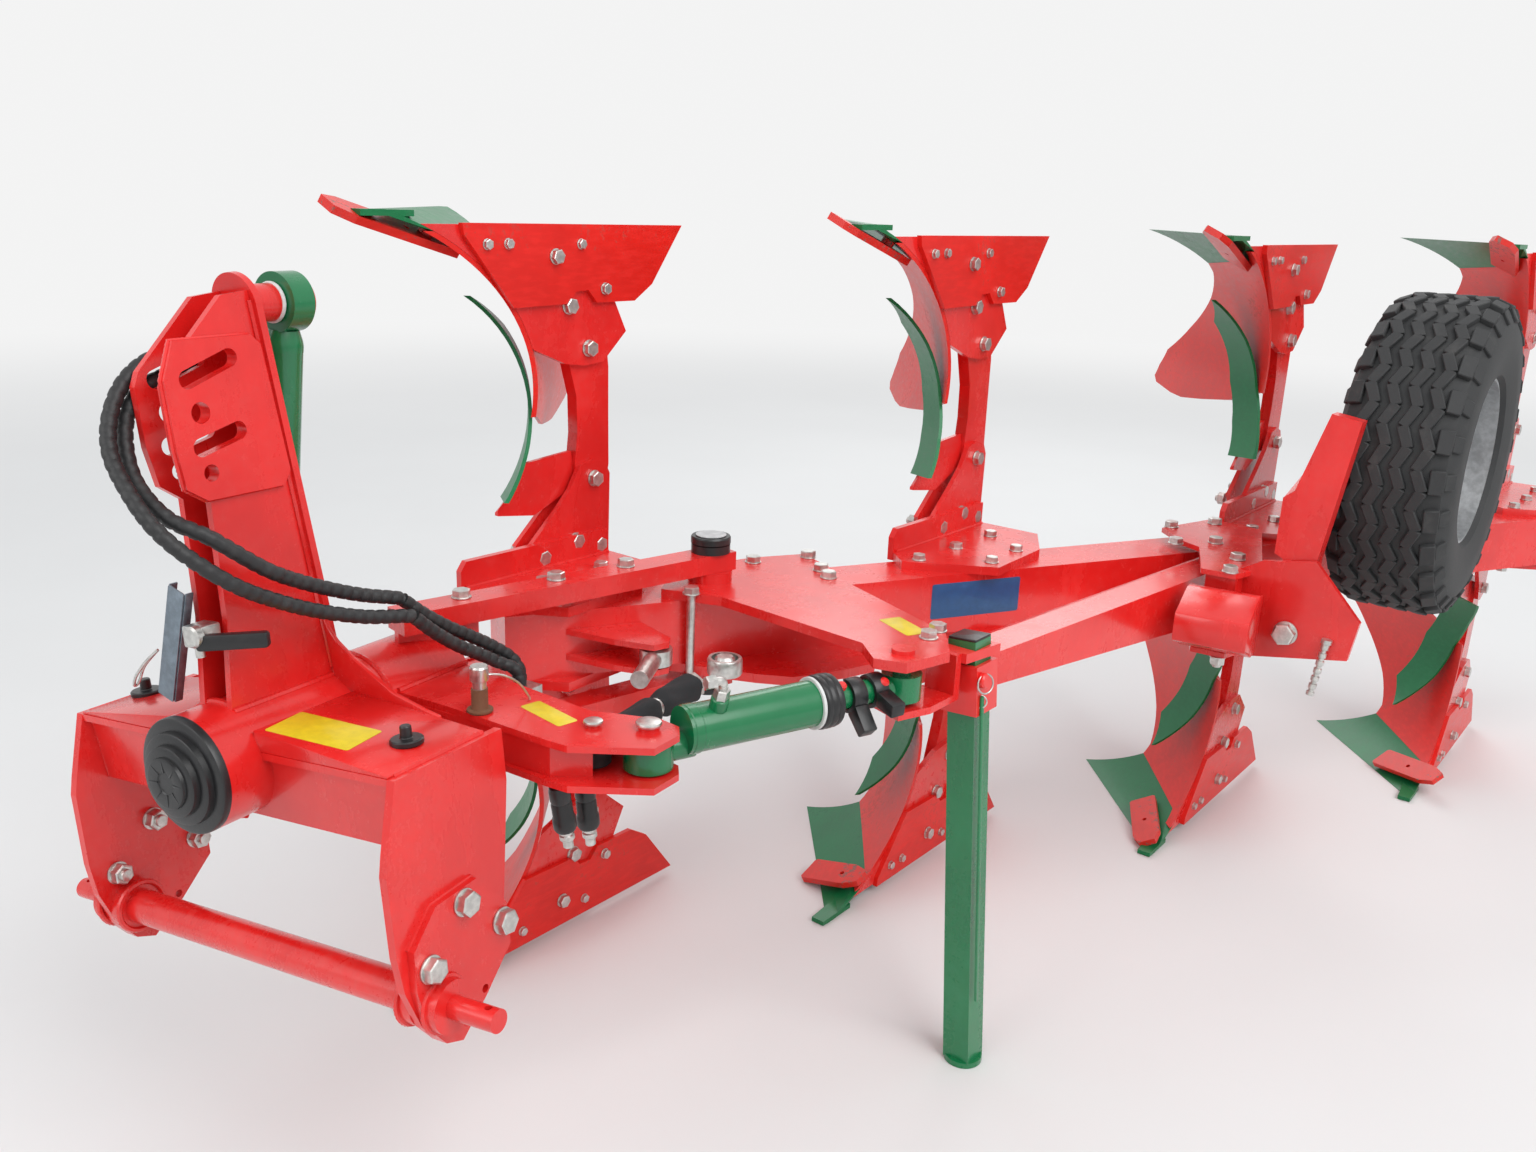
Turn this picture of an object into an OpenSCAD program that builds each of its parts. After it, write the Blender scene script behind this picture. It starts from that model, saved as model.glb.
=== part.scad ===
// Four-furrow reversible mounted moldboard plough, standing as it parks.
// +X is the way of travel along the turnover axis, +Y the plough's left, +Z up, millimetres.

/* [Main] */
// Height of the turnover axis over the floor
axis_h = 840; // [800:1:880]
// Forward spacing from one plough body to the next
body_pitch = 900; // [860:5:960]
// Sideways step from one body to the next
body_step = 468.5; // [450:0.5:480]
// Angle the beam now stands turned out from the turnover axis
beam_turn = 9.5; // [8:0.1:11]
// Lean of the parked headstock about the turnover axis
head_lean = 5.5; // [4:0.1:6]

/* [Headstock] */
// Width over the two side plates
head_w = 752; // [740:1:765]
// Thickness of the side plates
side_t = 15; // [12:0.5:18]
// Thickness of the bolted doubler plates
doubler_t = 15; // [12:0.5:16]
// Thickness of the folded box plates
box_t = 12; // [8:0.5:14]
// Outer diameter of the turnover bearing tube
bearing_d = 190; // [180:1:200]
// Diameter of the turnover shaft
shaft_d = 140; // [120:1:150]
// Radial running clearance of the turnover shaft
shaft_gap = 0.05; // [0.02:0.01:0.08]

/* [Hitch] */
// Diameter of the cross shaft between the side plates
cross_d = 60; // [56:0.5:64]
// Diameter of the lower hitch pins
stub_d = 36.6; // [36.4:0.1:36.8]
// Width over the shoulders of the lower hitch
hitch_w = 825; // [820:1:830]
// Usable length of each lower hitch pin
stub_l = 88; // [80:1:100]
// Gap between the mast plates
mast_gap = 52; // [50:0.5:56]
// Thickness of each mast plate
mast_t = 12; // [10:0.5:14]
// Thickness of each mast doubler
mast_pad_t = 10; // [8:0.5:12]
// Diameter of the upper round top link hole
top_hole_d = 32; // [31.8:0.1:34]
// Diameter of the lower round top link hole
low_hole_d = 25.8; // [25.6:0.1:27]

/* [Carriage] */
// Thickness of the clevis arm plates
arm_t = 12; // [10:0.5:14]
// Gap between the clevis arm plates
arm_gap = 58; // [56:0.5:62]
// Width of the upper and lower link bars
bar_w = 65; // [60:1:72]
// Height of the link bars
bar_h = 40; // [36:1:44]
// Diameter of the beam pivot pin
pivot_d = 60; // [50:1:64]
// Distance from the turnover axis out to the crank pin
crank_r = 193; // [190:1:196]

/* [Cylinders] */
// Barrel diameter of the turnover cylinder
turn_barrel_d = 62; // [58:1:64]
// Rod diameter of the turnover cylinder
turn_rod_d = 36; // [32:1:40]
// Barrel diameter of the width adjusting cylinder
swing_barrel_d = 84; // [80:1:88]
// Rod diameter of the width adjusting cylinder
swing_rod_d = 45; // [40:1:50]

/* [Beam] */
// Side of the square main beam
beam_s = 140; // [138:1:142]
// Wall of the main beam
beam_wall = 8; // [6:0.5:10]
// Thickness of the bracket and base plates
plate_t = 20; // [15:0.5:20]
// Width of the strut
strut_w = 78; // [74:1:80]

/* [Bodies] */
// Thickness of the landside plate
landside_t = 12; // [10:0.5:14]
// Thickness of the frog plate
frog_t = 15; // [12:0.5:16]
// Thickness of the leg plate
leg_t = 30; // [28:0.5:32]
// Thickness of each leg bracket plate
fork_t = 12; // [10:0.5:14]
// Radius of the hollow moldboard face
board_r = 381; // [376:1:386]
// Thickness of the moldboard
board_t = 9; // [8:0.5:11]
// Plan angle of the moldboard's axis to the travel line
board_yaw = 41.7; // [41:0.1:42.5]

/* [Wheel] */
// Tyre diameter of the depth wheel
tyre_d = 760; // [740:1:780]
// Tyre width
tyre_w = 264; // [256:1:270]
// Rim diameter where the tyre seats
rim_d = 394; // [388:1:400]

/* [Stand] */
// Side of the stand leg tube
stand_s = 60; // [58:1:62]
// Diameter of the stand's foot plate
foot_d = 80; // [76:1:100]

/* [Hidden] */
$fn = 64;
org_x = 620.4;               // turnover axis frame to the part's origin
org_y = -914.7;
axis_off = 17.9;           // the beam frame's side step from the turnover axis
stations = [0, 1, 2, 3];

// headstock, (a, b, c) from the turnover axis
box_front = 1325;
box_rear = 1120;
box_top = 27;
box_low_front = -97;
box_low_rear = -153;
side_in = head_w / 2 - side_t;
side_out = head_w / 2;
cross_a = 1297;
cross_c = -343;
cap_front = 1386;
mast_in_l = mast_gap / 2;
mast_lean = 5.9;
mast_top_pin = 700;
flange_foot = [1112, 100];  // a and c of the leaning rear plate's foot
flange_l = 603;
flange_w = 100;
cyl_a = 1088;              // plane of the turnover cylinder
eye_w = 42;                // width of its top eye
crank_eye_w = 36;          // width of its rod's eye
mast_pts = [[1327, 60], [1308, 230], [1305, 415], [1340, 440], [1352, 500], [1355, 590], [1345, 612],
  [1236, 715], [1186.2, 721], [1122, 100], [1122, 60]];
pad_pts = [[1315, 418], [1348, 440], [1355, 500], [1358, 600], [1335, 655], [1200, 655], [1184, 640],
  [1160, 440], [1175, 418]];
side_pts = [[1325, 27], [1355, -80], [1362, -110], [1362, -240], [1355, -300], [1330, -370], [1300, -410],
  [1265, -425], [1200, -380], [1130, -320], [1130, -260], [1095, -60], [1095, 27]];
doubler_pts = [[1342, -235], [1290, -185], [1200, -180], [1140, -250], [1140, -322], [1205, -380],
  [1265, -425], [1300, -410], [1330, -370], [1345, -300]];

// carriage
crank_up = 42.3;           // the crank stands up to the plough's right as it parks
crank_y = -crank_r * cos(crank_up);
crank_z = crank_r * sin(crank_up);
pivot_a = 275;
pivot_b = 250;
bar_lo = 112;
arm_in = arm_gap / 2;
arm_out = arm_in + arm_t;
front_pin = [924, 537];
second_pin = [964, 454];
arm_pts = [[1036, 0], [1036, 200], [1052, 426], [1052, 468], [983, 589], [915, 592], [888, 573], [878, 530],
  [900, 457], [915, 412], [900, 300], [873, 128], [860, 0]];
bar_turn = atan2(pivot_b - 30, pivot_a - 900);
bar_len = norm([pivot_b - 30, pivot_a - 900]);

// hose routes, (a, b, c) from the turnover axis
hose_d = 24;
hose_a = [[1195, -99.1, 628], [1198.6, -114, 626.5], [1230, -122, 627], [1300, -118, 618], [1352, -112, 588],
  [1386, -102, 542], [1407, -78, 495], [1416, -36, 450], [1415, 12, 403], [1394, 54, 360], [1340, 84, 308],
  [1271, 92, 267], [1205, 102, 236], [1130, 120, 210], [1060, 136, 196]];
hose_b = [[1192, -95.9, 596], [1195.5, -111, 594.5], [1226, -119, 596], [1296, -114, 588], [1343, -108, 560],
  [1368, -98, 512], [1385, -60, 454], [1385, 4, 408], [1352, 54, 378], [1283, 80, 320], [1223, 84, 286],
  [1162, 92, 258], [1110, 101, 238], [1060, 112, 224]];
rear_a = [[1042, 140, 190], [1000, 144, 152], [950, 150, 114], [905, 158, 86], [868, 168, 62], [844, 184, 46],
  [838, 192, 26], [838, 192, 6.9]];
rear_b = [[1042, 116, 216], [1000, 122, 180], [950, 130, 144], [905, 140, 116], [860, 150, 86], [826, 164, 56],
  [818, 176, 30], [818, 176, 6.9]];

// points between the route's own, on a smooth curve through them
function smooth(r) = concat([for (i = [0:len(r) - 2]) for (s = [0:3]) blend(r[max(i - 1, 0)], r[i], r[i + 1],
  r[min(i + 2, len(r) - 1)], s / 4)], [r[len(r) - 1]]);
function blend(p, q, r, s, t) = q + 0.5 * t * (r - p + t * (2 * p - 5 * q + 4 * r - s
  + t * (3 * q - 3 * r + s - p)));

// swing cylinder, in the beam frame
rod_pin = [322, 870];
front_xy = [front_pin[0] * cos(beam_turn) - (front_pin[1] + axis_off) * sin(beam_turn),
  front_pin[0] * sin(beam_turn) + (front_pin[1] + axis_off) * cos(beam_turn)];
pivot_xy = [pivot_a * cos(beam_turn) - (pivot_b + axis_off) * sin(beam_turn),
  pivot_a * sin(beam_turn) + (pivot_b + axis_off) * cos(beam_turn)];
link_pin = [478, 390];
link_ab = [link_pin[0] * cos(beam_turn) + link_pin[1] * sin(beam_turn),
  link_pin[1] * cos(beam_turn) - link_pin[0] * sin(beam_turn) - axis_off];
link_dir = atan2(link_ab[1] - second_pin[1], link_ab[0] - second_pin[0]);
link_len = norm(link_ab - second_pin);
swing_len = norm(front_xy - rod_pin);
swing_dir = atan2(rod_pin[1] - front_xy[1], rod_pin[0] - front_xy[0]);
swing_z = 26;              // height of the cylinder's bore and rod over the axis plane
barrel_len = 300;
shelf_z = -24;             // underside of the bracket's lower shelf, which carries the eye's pin

// beam
beam_dir = atan2(body_step, -body_pitch);
beam_front = -462;         // the beam runs on ahead of its pivot to carry the first body
beam_len = 3902;
half_s = beam_s / 2;
bracket_pts = [[356, 287], [308, 413], [334, 786], [389, 849], [368, 908], [260, 933], [170, 869],
  [33, 539], [-44, 427], [-82, 328], [24, 267], [227, 200]];
lower_bracket_pts = [[356, 287], [308, 413], [275, 486], [234, 554], [125, 604], [43, 628], [-20, 560],
  [-44, 427], [-82, 328], [24, 267], [227, 200]];
strut_front = [60, 880];
strut_rear = [-880, 975];

// one body, x forward from the landside's rear corner, y from its outer face, s down from the axis,
// where what lies near the ground is given by its height over the furrow bottom
function down(pts) = [for (p = pts) [p[0], axis_h - p[1]]];
land_pts = down([[0, 22], [620, 22], [615, 45], [495, 188], [345, 185], [325, 160], [290, 158], [265, 185],
  [150, 185], [95, 150]]);
frog_pts = down([[200, 185], [165, 252], [235, 315], [290, 320], [345, 313], [435, 277], [480, 240],
  [640, 160], [800, 25], [260, 25]]);
leg_pts = concat([[204, 288], [214, 240], [300, 240], [308, 303], [300, 369], [302, 451]],
  down([[321, 322], [345, 240], [345, 180], [230, 180], [215, 240], [205, 330]]), [[205, 404]]);
lug_pts = down([[300, 590], [420, 640], [520, 625], [520, 540], [430, 520], [310, 510]]);
fork_pts = [[216, 92], [430, 92], [457, 133], [369, 212], [334, 248], [304, 297], [263, 308], [225, 295],
  [212, 270]];
board_at = [1011.6, 359];   // the moldboard axis where it meets the landside, x and height over the furrow
share_pts = [[823, 0], [677, 38], [622, 62], [353, 84], [345, 0]];
board_pts = [[677, 38.5], [622, 62.5], [353, 84.5], [326, 110], [202, 187], [14, 294], [-130, 385],
  [-152, 440], [-150, 476], [-118, 493], [0, 506], [71, 507], [160, 493], [301, 466], [424, 418],
  [560, 418], [760, 150], [760, 38.5]];

nose_pts = [[700, -60], [835, -48], [835, -12.3], [720, -12.3]];
point_w = 76;
point_t = 16;
point_back = 72;
// the lower points hang loose on their bolts: x and y of the bolt, turn, lift, length ahead, rise of the tip
loose = [[646, -112, 16, 10, 142, 5.5], [664, -106, 88, 20, 112, -2], [650, -101, 26, 10, 160, 2],
  [651, -88, 58, 14, 165, 0]];
strip_yaw = 50;             // plan angle of the trashboard's tube
strip_q = 638;              // how far over its line lies, its height over the furrow
strip_h = 415;
strip_r = 284;
strip_t = 8;
strip_pts = [[178, 176], [215, 280], [244, 405], [300, 500], [368, 582], [258, 593], [180, 510],
  [114, 408], [100, 320], [84, 243]];

// stand leg, leaning out at the foot
stand_lean = 4.3;
stand_at = [140, 911.8401 + axis_h * tan(stand_lean)];

// wheel, swung up as it parks, in the beam frame
wheel_at = [-770 - tyre_d / 2, 1263 + tyre_w / 2, 350];
wheel_pivot = [-715, 1262, -25];
wheel_base_pts = [[-845, 940], [-816, 995], [-626, 1072], [-632, 1151], [-734, 1176], [-1118, 1048],
  [-1135, 908], [-938, 850]];
wheel_plate_pts = [[1120, -90], [1187, -100], [1401, -58], [1414, 33], [1304, 151], [1187, 131], [1120, 90]];
wheel_arm_pts = [[1225, -60], [1300, -60], [1300, 150], [1345, 470], [1280, 480], [1228, 300], [1205, 280],
  [1205, 150], [1225, 140]];
wheel_brace_pts = [[-715, 150], [-715, 280], [wheel_at[0] + 30, 400], [wheel_at[0] - 40, 350],
  [wheel_at[0], 290]];

// frames
module level() {
  translate([org_x, org_y, axis_h]) children();
}

module head() {
  level() rotate([head_lean, 0, 0]) children();
}

module field() {
  level() translate([0, -axis_off, 0]) rotate([0, 0, -beam_turn]) children();
}

// a plate standing along x, its outline in x and z, from y to y + t
module upright(y, t) {
  translate([0, y + t, 0]) rotate([90, 0, 0]) linear_extrude(t) children();
}

// a flat plate from z to z + t
module flat(z, t) {
  translate([0, 0, z]) linear_extrude(t) children();
}

// children on both sides of the plane y = 0
module both_sides() {
  children();
  mirror([0, 1, 0]) children();
}

// children above and below the plane z = 0
module top_and_bottom() {
  children();
  mirror([0, 0, 1]) children();
}

module slot(p, l, d, turn) {
  hull_l = l - d;
  translate(p) rotate(turn) {
    square([hull_l, d], center = true);
    for (k = [-1, 1]) translate([k * hull_l / 2, 0]) circle(d = d);
  }
}

// one child per station, seen from the landside corner, height s counted away from the axis
module at_bodies(up) {
  field() for (i = stations)
    translate([-body_pitch * i, body_step * i, 0]) mirror([0, 0, up ? 0 : 1]) children();
}

// headstock
module headstock_box() {
  color("red") head() {
    difference() {
      upright(-side_in, 2 * side_in) difference() {
        polygon([[box_front, box_top], [box_rear, box_top], [box_rear, box_low_rear],
          [box_front - 25, box_low_front], [box_front - 12, box_top - box_t], [box_front, box_top - box_t]]);
        polygon([[box_front - 24, box_top - box_t], [box_rear + box_t, box_top - box_t],
          [box_rear + box_t, box_low_rear + 15], [box_front - 36, box_low_front + 9]]);
      }
      rotate([0, 90, 0]) cylinder(h = 2000, d = bearing_d);
      for (k = [-1, 1])
        translate([box_rear, k * 270, -60]) rotate([0, 90, 0]) cylinder(h = 60, d = 60, center = true);
    }
    translate([box_rear, 0, 0]) rotate([0, 90, 0]) difference() {
      cylinder(h = cap_front - box_rear, d = bearing_d);
      translate([0, 0, -1]) cylinder(h = cap_front - box_rear + 2, d = shaft_d + 2 * shaft_gap);
    }
  }
}

module headstock_side_plates() {
  color("red") head() both_sides() difference() {
    union() {
      upright(side_in, side_t) polygon(side_pts);
      upright(side_out, doubler_t) polygon(doubler_pts);
    }
    translate([cross_a, 0, cross_c]) rotate([-90, 0, 0]) cylinder(h = 600, d = cross_d);
    translate([1207, 0, -368]) rotate([-90, 0, 0]) cylinder(h = 600, d = 14);
  }
}

module mast_plates() {
  color("red") head() for (k = [-1, 1]) difference() {
    union() {
      upright(k > 0 ? mast_in_l : -mast_in_l - mast_t, mast_t) polygon(mast_pts);
      if (k > 0) upright(mast_in_l + mast_t, mast_pad_t) polygon(pad_pts);
    }
    upright(-200, 400) {
      translate([1306, 548]) circle(d = top_hole_d);
      translate([1303, 458]) circle(d = low_hole_d);
      slot([1282, 611], 108, 28, -18.7);
      slot([1279, 506], 98, 28, -14);
    }
    rotate([0, 90, 0]) cylinder(h = 2000, d = bearing_d);
  }
}

module mast_flange() {
  color("red") head() {
    difference() {
      translate([flange_foot[0], 0, flange_foot[1]]) rotate([0, mast_lean, 0]) translate([-2.07, 0, 0])
        rotate([0, 90, 0]) linear_extrude(mast_t) {
          translate([-flange_l, 0]) circle(d = flange_w);
          translate([-flange_l, -flange_w / 2]) square([flange_l, flange_w]);
        }
      rotate([0, 90, 0]) cylinder(h = 2000, d = bearing_d);
    }
    translate([cyl_a + eye_w / 2 + 2, 0, mast_top_pin]) rotate([0, 90, 0]) cylinder(h = 66, d = 60);
    translate([cyl_a - eye_w / 2 - 10, 0, mast_top_pin]) rotate([0, 90, 0]) cylinder(h = 70, d = 40);
    translate([cyl_a - eye_w / 2 - 10, 0, mast_top_pin]) rotate([0, 90, 0]) cylinder(h = 6, d = 76);
  }
}

module lower_link_shaft() {
  color("red") head() translate([cross_a, 0, cross_c]) both_sides() difference() {
    union() {
      rotate([-90, 0, 0]) cylinder(h = hitch_w / 2, d = cross_d);
      translate([0, side_in - 24, 0]) rotate([-90, 0, 0]) cylinder(h = 24, d = cross_d + 24);
      translate([0, side_out + doubler_t, 0]) rotate([-90, 0, 0])
        cylinder(h = hitch_w / 2 - side_out - doubler_t, d = cross_d + 24);
      rotate([-90, 0, 0]) cylinder(h = hitch_w / 2 + stub_l, d = stub_d);
    }
    translate([0, hitch_w / 2 + stub_l - 18, 0]) cylinder(h = 200, d = 12, center = true);
  }
}

module bearing_cap() {
  color("black") head() translate([cap_front, 0, 0]) rotate([0, 90, 0]) {
    cylinder(h = 14, d = bearing_d);
    cylinder(h = 26, d = 150);
    cylinder(h = 38, d = 116);
    cylinder(h = 45, d = 84);
  }
}

// turnover cylinder, hung from the mast pin and pinned to the crank
top_y = -mast_top_pin * sin(head_lean);
top_z = mast_top_pin * cos(head_lean);
turn_len = norm([crank_y - top_y, top_z - crank_z]);
turn_tilt = atan2(crank_y - top_y, top_z - crank_z);
turn_barrel_l = 370;

module along_turn_cylinder() {
  level() translate([cyl_a, top_y, top_z]) rotate([turn_tilt, 0, 0]) mirror([0, 0, 1]) children();
}

module turnover_barrel() {
  color("green") along_turn_cylinder() difference() {
    union() {
      rotate([0, 90, 0]) cylinder(h = eye_w, d = 96, center = true);
      translate([0, 0, 40]) cylinder(h = 40, d = 40);
      translate([0, 0, 70]) cylinder(h = turn_barrel_l, d = turn_barrel_d);
    }
    rotate([0, 90, 0]) cylinder(h = 200, d = 40.1, center = true);
    translate([0, 0, 80]) cylinder(h = turn_barrel_l, d = turn_rod_d + 0.1);
  }
}

module turnover_rod() {
  color("silver") along_turn_cylinder() {
    union() {
      translate([0, 0, 148]) cylinder(h = turn_len - 148 - 16, d = turn_rod_d - 1);
      translate([0, 0, turn_len]) rotate([0, 90, 0]) cylinder(h = crank_eye_w + 1, d = 60, center = true);
      translate([1066.4 - cyl_a, 0, turn_len]) rotate([0, 90, 0]) cylinder(h = 41, d = 32);
    }
  }
}

// carriage
module turning_hub() {
  color("red") level() {
    rotate([0, 90, 0]) translate([0, 0, 860]) cylinder(h = 206, d = bearing_d);
    translate([1048, 0, 0]) rotate([0, 90, 0]) cylinder(h = cap_front - 1048 - 2, d = shaft_d);
    translate([1048, 0, 0]) rotate([0, 90, 0]) linear_extrude(18) {
      circle(d = bearing_d);
      rotate(crank_up) {
        translate([0, -crank_r]) circle(d = 50);
        translate([-25, -crank_r]) square([50, crank_r]);
      }
    }
  }
}

module cylinder_arm() {
  color("red") level() difference() {
    union() {
      top_and_bottom() flat(arm_in, arm_t) polygon(arm_pts);
      translate([front_pin[0], front_pin[1], -arm_out - 12]) cylinder(h = 2 * arm_out + 18, d = 36);
      translate([second_pin[0], second_pin[1], -arm_out - 12]) cylinder(h = 2 * arm_out + 16, d = 25);
      flat(-arm_in, arm_gap) polygon([[1036, 60], [1040, 424], [1000, 480], [990, 472], [1026, 420],
        [1022, 60]]);
    }
    rotate([0, 90, 0]) cylinder(h = 2000, d = bearing_d);
  }
}

module link_bars() {
  color("red") level() {
    difference() {
      union() {
        translate([900, 30, 0]) rotate([0, 0, bar_turn]) {
          top_and_bottom() translate([0, -bar_w / 2, bar_lo]) cube([bar_len + 45, bar_w, bar_h]);
          translate([-60, -8, -bar_lo]) cube([160, 16, 2 * bar_lo]);
          top_and_bottom() translate([-60, -bar_w / 2, bar_lo]) cube([100, bar_w, bar_h]);
        }
      }
      rotate([0, 90, 0]) cylinder(h = 2000, d = bearing_d);
      flat(-arm_out, 2 * arm_out) polygon(arm_pts);
      translate([pivot_a, pivot_b, 0]) cylinder(h = 600, d = pivot_d, center = true);
    }
  }
}

module pivot_pin() {
  color("black") level() translate([pivot_a, pivot_b, -bar_lo - bar_h - 12]) {
    cylinder(h = 2 * bar_lo + 2 * bar_h + 24, d = pivot_d);
    cylinder(h = 11.8, d = pivot_d + 24);
    translate([0, 0, 2 * bar_lo + 2 * bar_h + 12.2]) cylinder(h = 18, d = pivot_d + 24);
  }
}

// width adjusting cylinder
module along_swing() {
  field() translate([front_xy[0], front_xy[1], 0]) rotate([0, 0, swing_dir]) children();
}

module swing_bore() {
  translate([0, 0, swing_z]) rotate([0, 90, 0]) children();
}

module swing_barrel() {
  color("green") along_swing() difference() {
    union() {
      cylinder(h = arm_gap - 8, d = 84, center = true);
      translate([30, 0, 0]) rotate([0, 90, 0]) cylinder(h = 50, d = 48);
      swing_bore() translate([0, 0, 62]) cylinder(h = barrel_len, d = swing_barrel_d);
    }
    cylinder(h = 200, d = 36.1, center = true);
    swing_bore() translate([0, 0, 82]) cylinder(h = barrel_len, d = swing_rod_d + 0.1);
  }
}

module swing_rod() {
  color("silver") along_swing() {
    union() {
      swing_bore() translate([0, 0, 120]) cylinder(h = swing_len - 120 - 20, d = swing_rod_d);
      translate([swing_len, 0, swing_z]) cylinder(h = 50, d = 76, center = true);
      translate([swing_len, 0, shelf_z + 14.4]) cylinder(h = half_s - shelf_z - 14.8, d = 36);
    }
  }
}

// sleeved link cylinder between the arm's second pin and the beam's lugs
module along_link() {
  level() translate([second_pin[0], second_pin[1], 0]) rotate([0, 0, link_dir]) children();
}

module link_sleeve() {
  color("black") along_link() difference() {
    union() {
      cylinder(h = arm_gap - 10, d = 60, center = true);
      translate([20, 0, 0]) rotate([0, 90, 0]) cylinder(h = 300, d = 52);
    }
    cylinder(h = 200, d = 25.1, center = true);
  }
}

module link_rod_end() {
  color("silver") along_link() {
    translate([320, 0, 0]) rotate([0, 90, 0]) cylinder(h = link_len - 345, d = 36);
    translate([link_len, 0, 0]) cylinder(h = 32, d = 66, center = true);
    translate([link_len, 0, 0]) cylinder(h = 40, d = 24, center = true);
  }
}

module link_lugs() {
  color("red") field() for (z = [21, -33]) flat(z, 12)
    polygon([[420, 289], [560, 216], [535, 330], [505, 410], [470, 418], [448, 400]]);
}

// hoses, cut between the headstock and the carriage where they cross the turnover joint
module hose(route, d) {
  n = len(route);
  sides = 10;
  ways = [for (i = [0:n - 1]) route[min(i + 1, n - 1)] - route[max(i - 1, 0)]];
  rings = [for (i = [0:n - 1]) let (t = ways[i] / norm(ways[i]), u0 = cross(t, [0.3, 0.2, 1]),
    u = u0 / norm(u0), v = cross(t, u)) for (k = [0:sides - 1])
      route[i] + d / 2 * (cos(360 * k / sides) * u + sin(360 * k / sides) * v)];
  sweep = [for (i = [0:n - 2]) for (k = [0:sides - 1]) [i * sides + k, (i + 1) * sides + k,
    (i + 1) * sides + (k + 1) % sides, i * sides + (k + 1) % sides]];
  polyhedron(rings, concat([[for (k = [0:sides - 1]) k]], sweep,
    [[for (k = [sides - 1:-1:0]) (n - 1) * sides + k]]));
}

module front_hoses() {
  color("black") level() {
    hose(smooth(hose_a), hose_d);
    hose(smooth(hose_b), hose_d);
  }
}

module rear_hoses() {
  color("black") level() {
    hose(smooth(rear_a), hose_d);
    hose(smooth(rear_b), hose_d);
  }
}

module hose_block() {
  color("silver") level() {
    flat(-arm_in, 10) polygon([[798, 160], [930, 156], [930, 216], [798, 212]]);
    flat(-arm_in, arm_in + 6.2) polygon([[798, 160], [858, 160], [858, 212], [798, 212]]);
  }
}

// beam
module along_beam() {
  field() translate([pivot_xy[0], pivot_xy[1], 0]) rotate([0, 0, beam_dir]) children();
}

module main_beam() {
  color("red") along_beam() difference() {
    translate([beam_front, -half_s, -half_s]) cube([beam_len, beam_s, beam_s]);
    translate([beam_front + 10, -half_s + beam_wall, -half_s + beam_wall])
      cube([beam_len, beam_s - 2 * beam_wall, beam_s - 2 * beam_wall]);
    cylinder(h = 2 * beam_s, d = pivot_d + 0.1, center = true);
  }
}

module bracket_plates() {
  color("red") field() {
    difference() {
      union() {
        flat(half_s, plate_t) polygon(bracket_pts);
        flat(-half_s - plate_t, plate_t) polygon(lower_bracket_pts);
        top_and_bottom() translate([pivot_xy[0], pivot_xy[1], half_s + 1])
          cylinder(h = bar_lo - half_s - 1.3, d = pivot_d + 36);
      }
      translate([pivot_xy[0], pivot_xy[1], 0]) cylinder(h = 400, d = pivot_d + 0.1, center = true);
      cube([4000, 4000, 2 * half_s], center = true);
    }
    flat(shelf_z, 14) polygon([[350, 830], [372, 900], [300, 925], [200, 925], [200, 860], [260, 830]]);
    flat(shelf_z, half_s - shelf_z) polygon([[200, 860], [200, 925], [220, 925], [220, 860]]);
    translate([rod_pin[0], rod_pin[1], half_s + plate_t - 1]) cylinder(h = 9, d = 45);
  }
}

module beam_strut() {
  color("red") field() {
    hull() {
      translate([strut_front[0] + 5, strut_front[1], 0]) cube([70, strut_w, 2 * 34], center = true);
      translate([strut_rear[0], strut_rear[1] + 60, 0]) cube([60, strut_w, 2 * 69], center = true);
    }
  }
}

base_pts = [[649, 0], [700, 58], [580, 246], [360, 236], [225, 160], [225, 0]];

module base_plates() {
  flat(half_s, plate_t) polygon(base_pts);
  upright(-15, 15) polygon([[230, half_s], [650, half_s], [650, 125], [635, 145], [230, 145]]);
}

module leg_brackets() {
  for (y = [-15 - fork_t, -15 - fork_t - leg_t - fork_t])
    upright(y, fork_t) polygon(fork_pts);
}

module legs() {
  upright(-15 - fork_t - leg_t, leg_t) polygon(leg_pts);
}

module frogs() {
  difference() {
    upright(-landside_t - frog_t, frog_t) polygon(frog_pts);
    translate([0, 0, axis_h]) mirror([0, 0, 1]) board_frame() translate([0, 0, -500])
      cylinder(h = 2000, r = board_r + board_t + 0.5, $fn = 180);
  }
}

module landsides() {
  upright(-landside_t, landside_t) polygon(land_pts);
}

// the hollow tube face that the share and moldboard are cut from, z up from the furrow bottom
module board_frame() {
  translate([board_at[0], -landside_t, board_at[1]]) rotate([0, 0, 180 + board_yaw]) rotate([0, 90, 0])
    children();
}

module board_shell() {
  board_frame() translate([0, 0, -500]) difference() {
    intersection() {
      cylinder(h = 2000, r = board_r + board_t, $fn = 180);
      translate([-board_r - 60, -board_r - 60, 0]) cube([2 * board_r + 120, board_r - 40, 2000]);
    }
    translate([0, 0, -1]) cylinder(h = 2002, r = board_r, $fn = 180);
  }
}

module cut_board(pts) {
  translate([0, 0, axis_h]) mirror([0, 0, 1]) intersection() {
    board_shell();
    upright(-700, 700 - landside_t) polygon(pts);
  }
}

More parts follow.
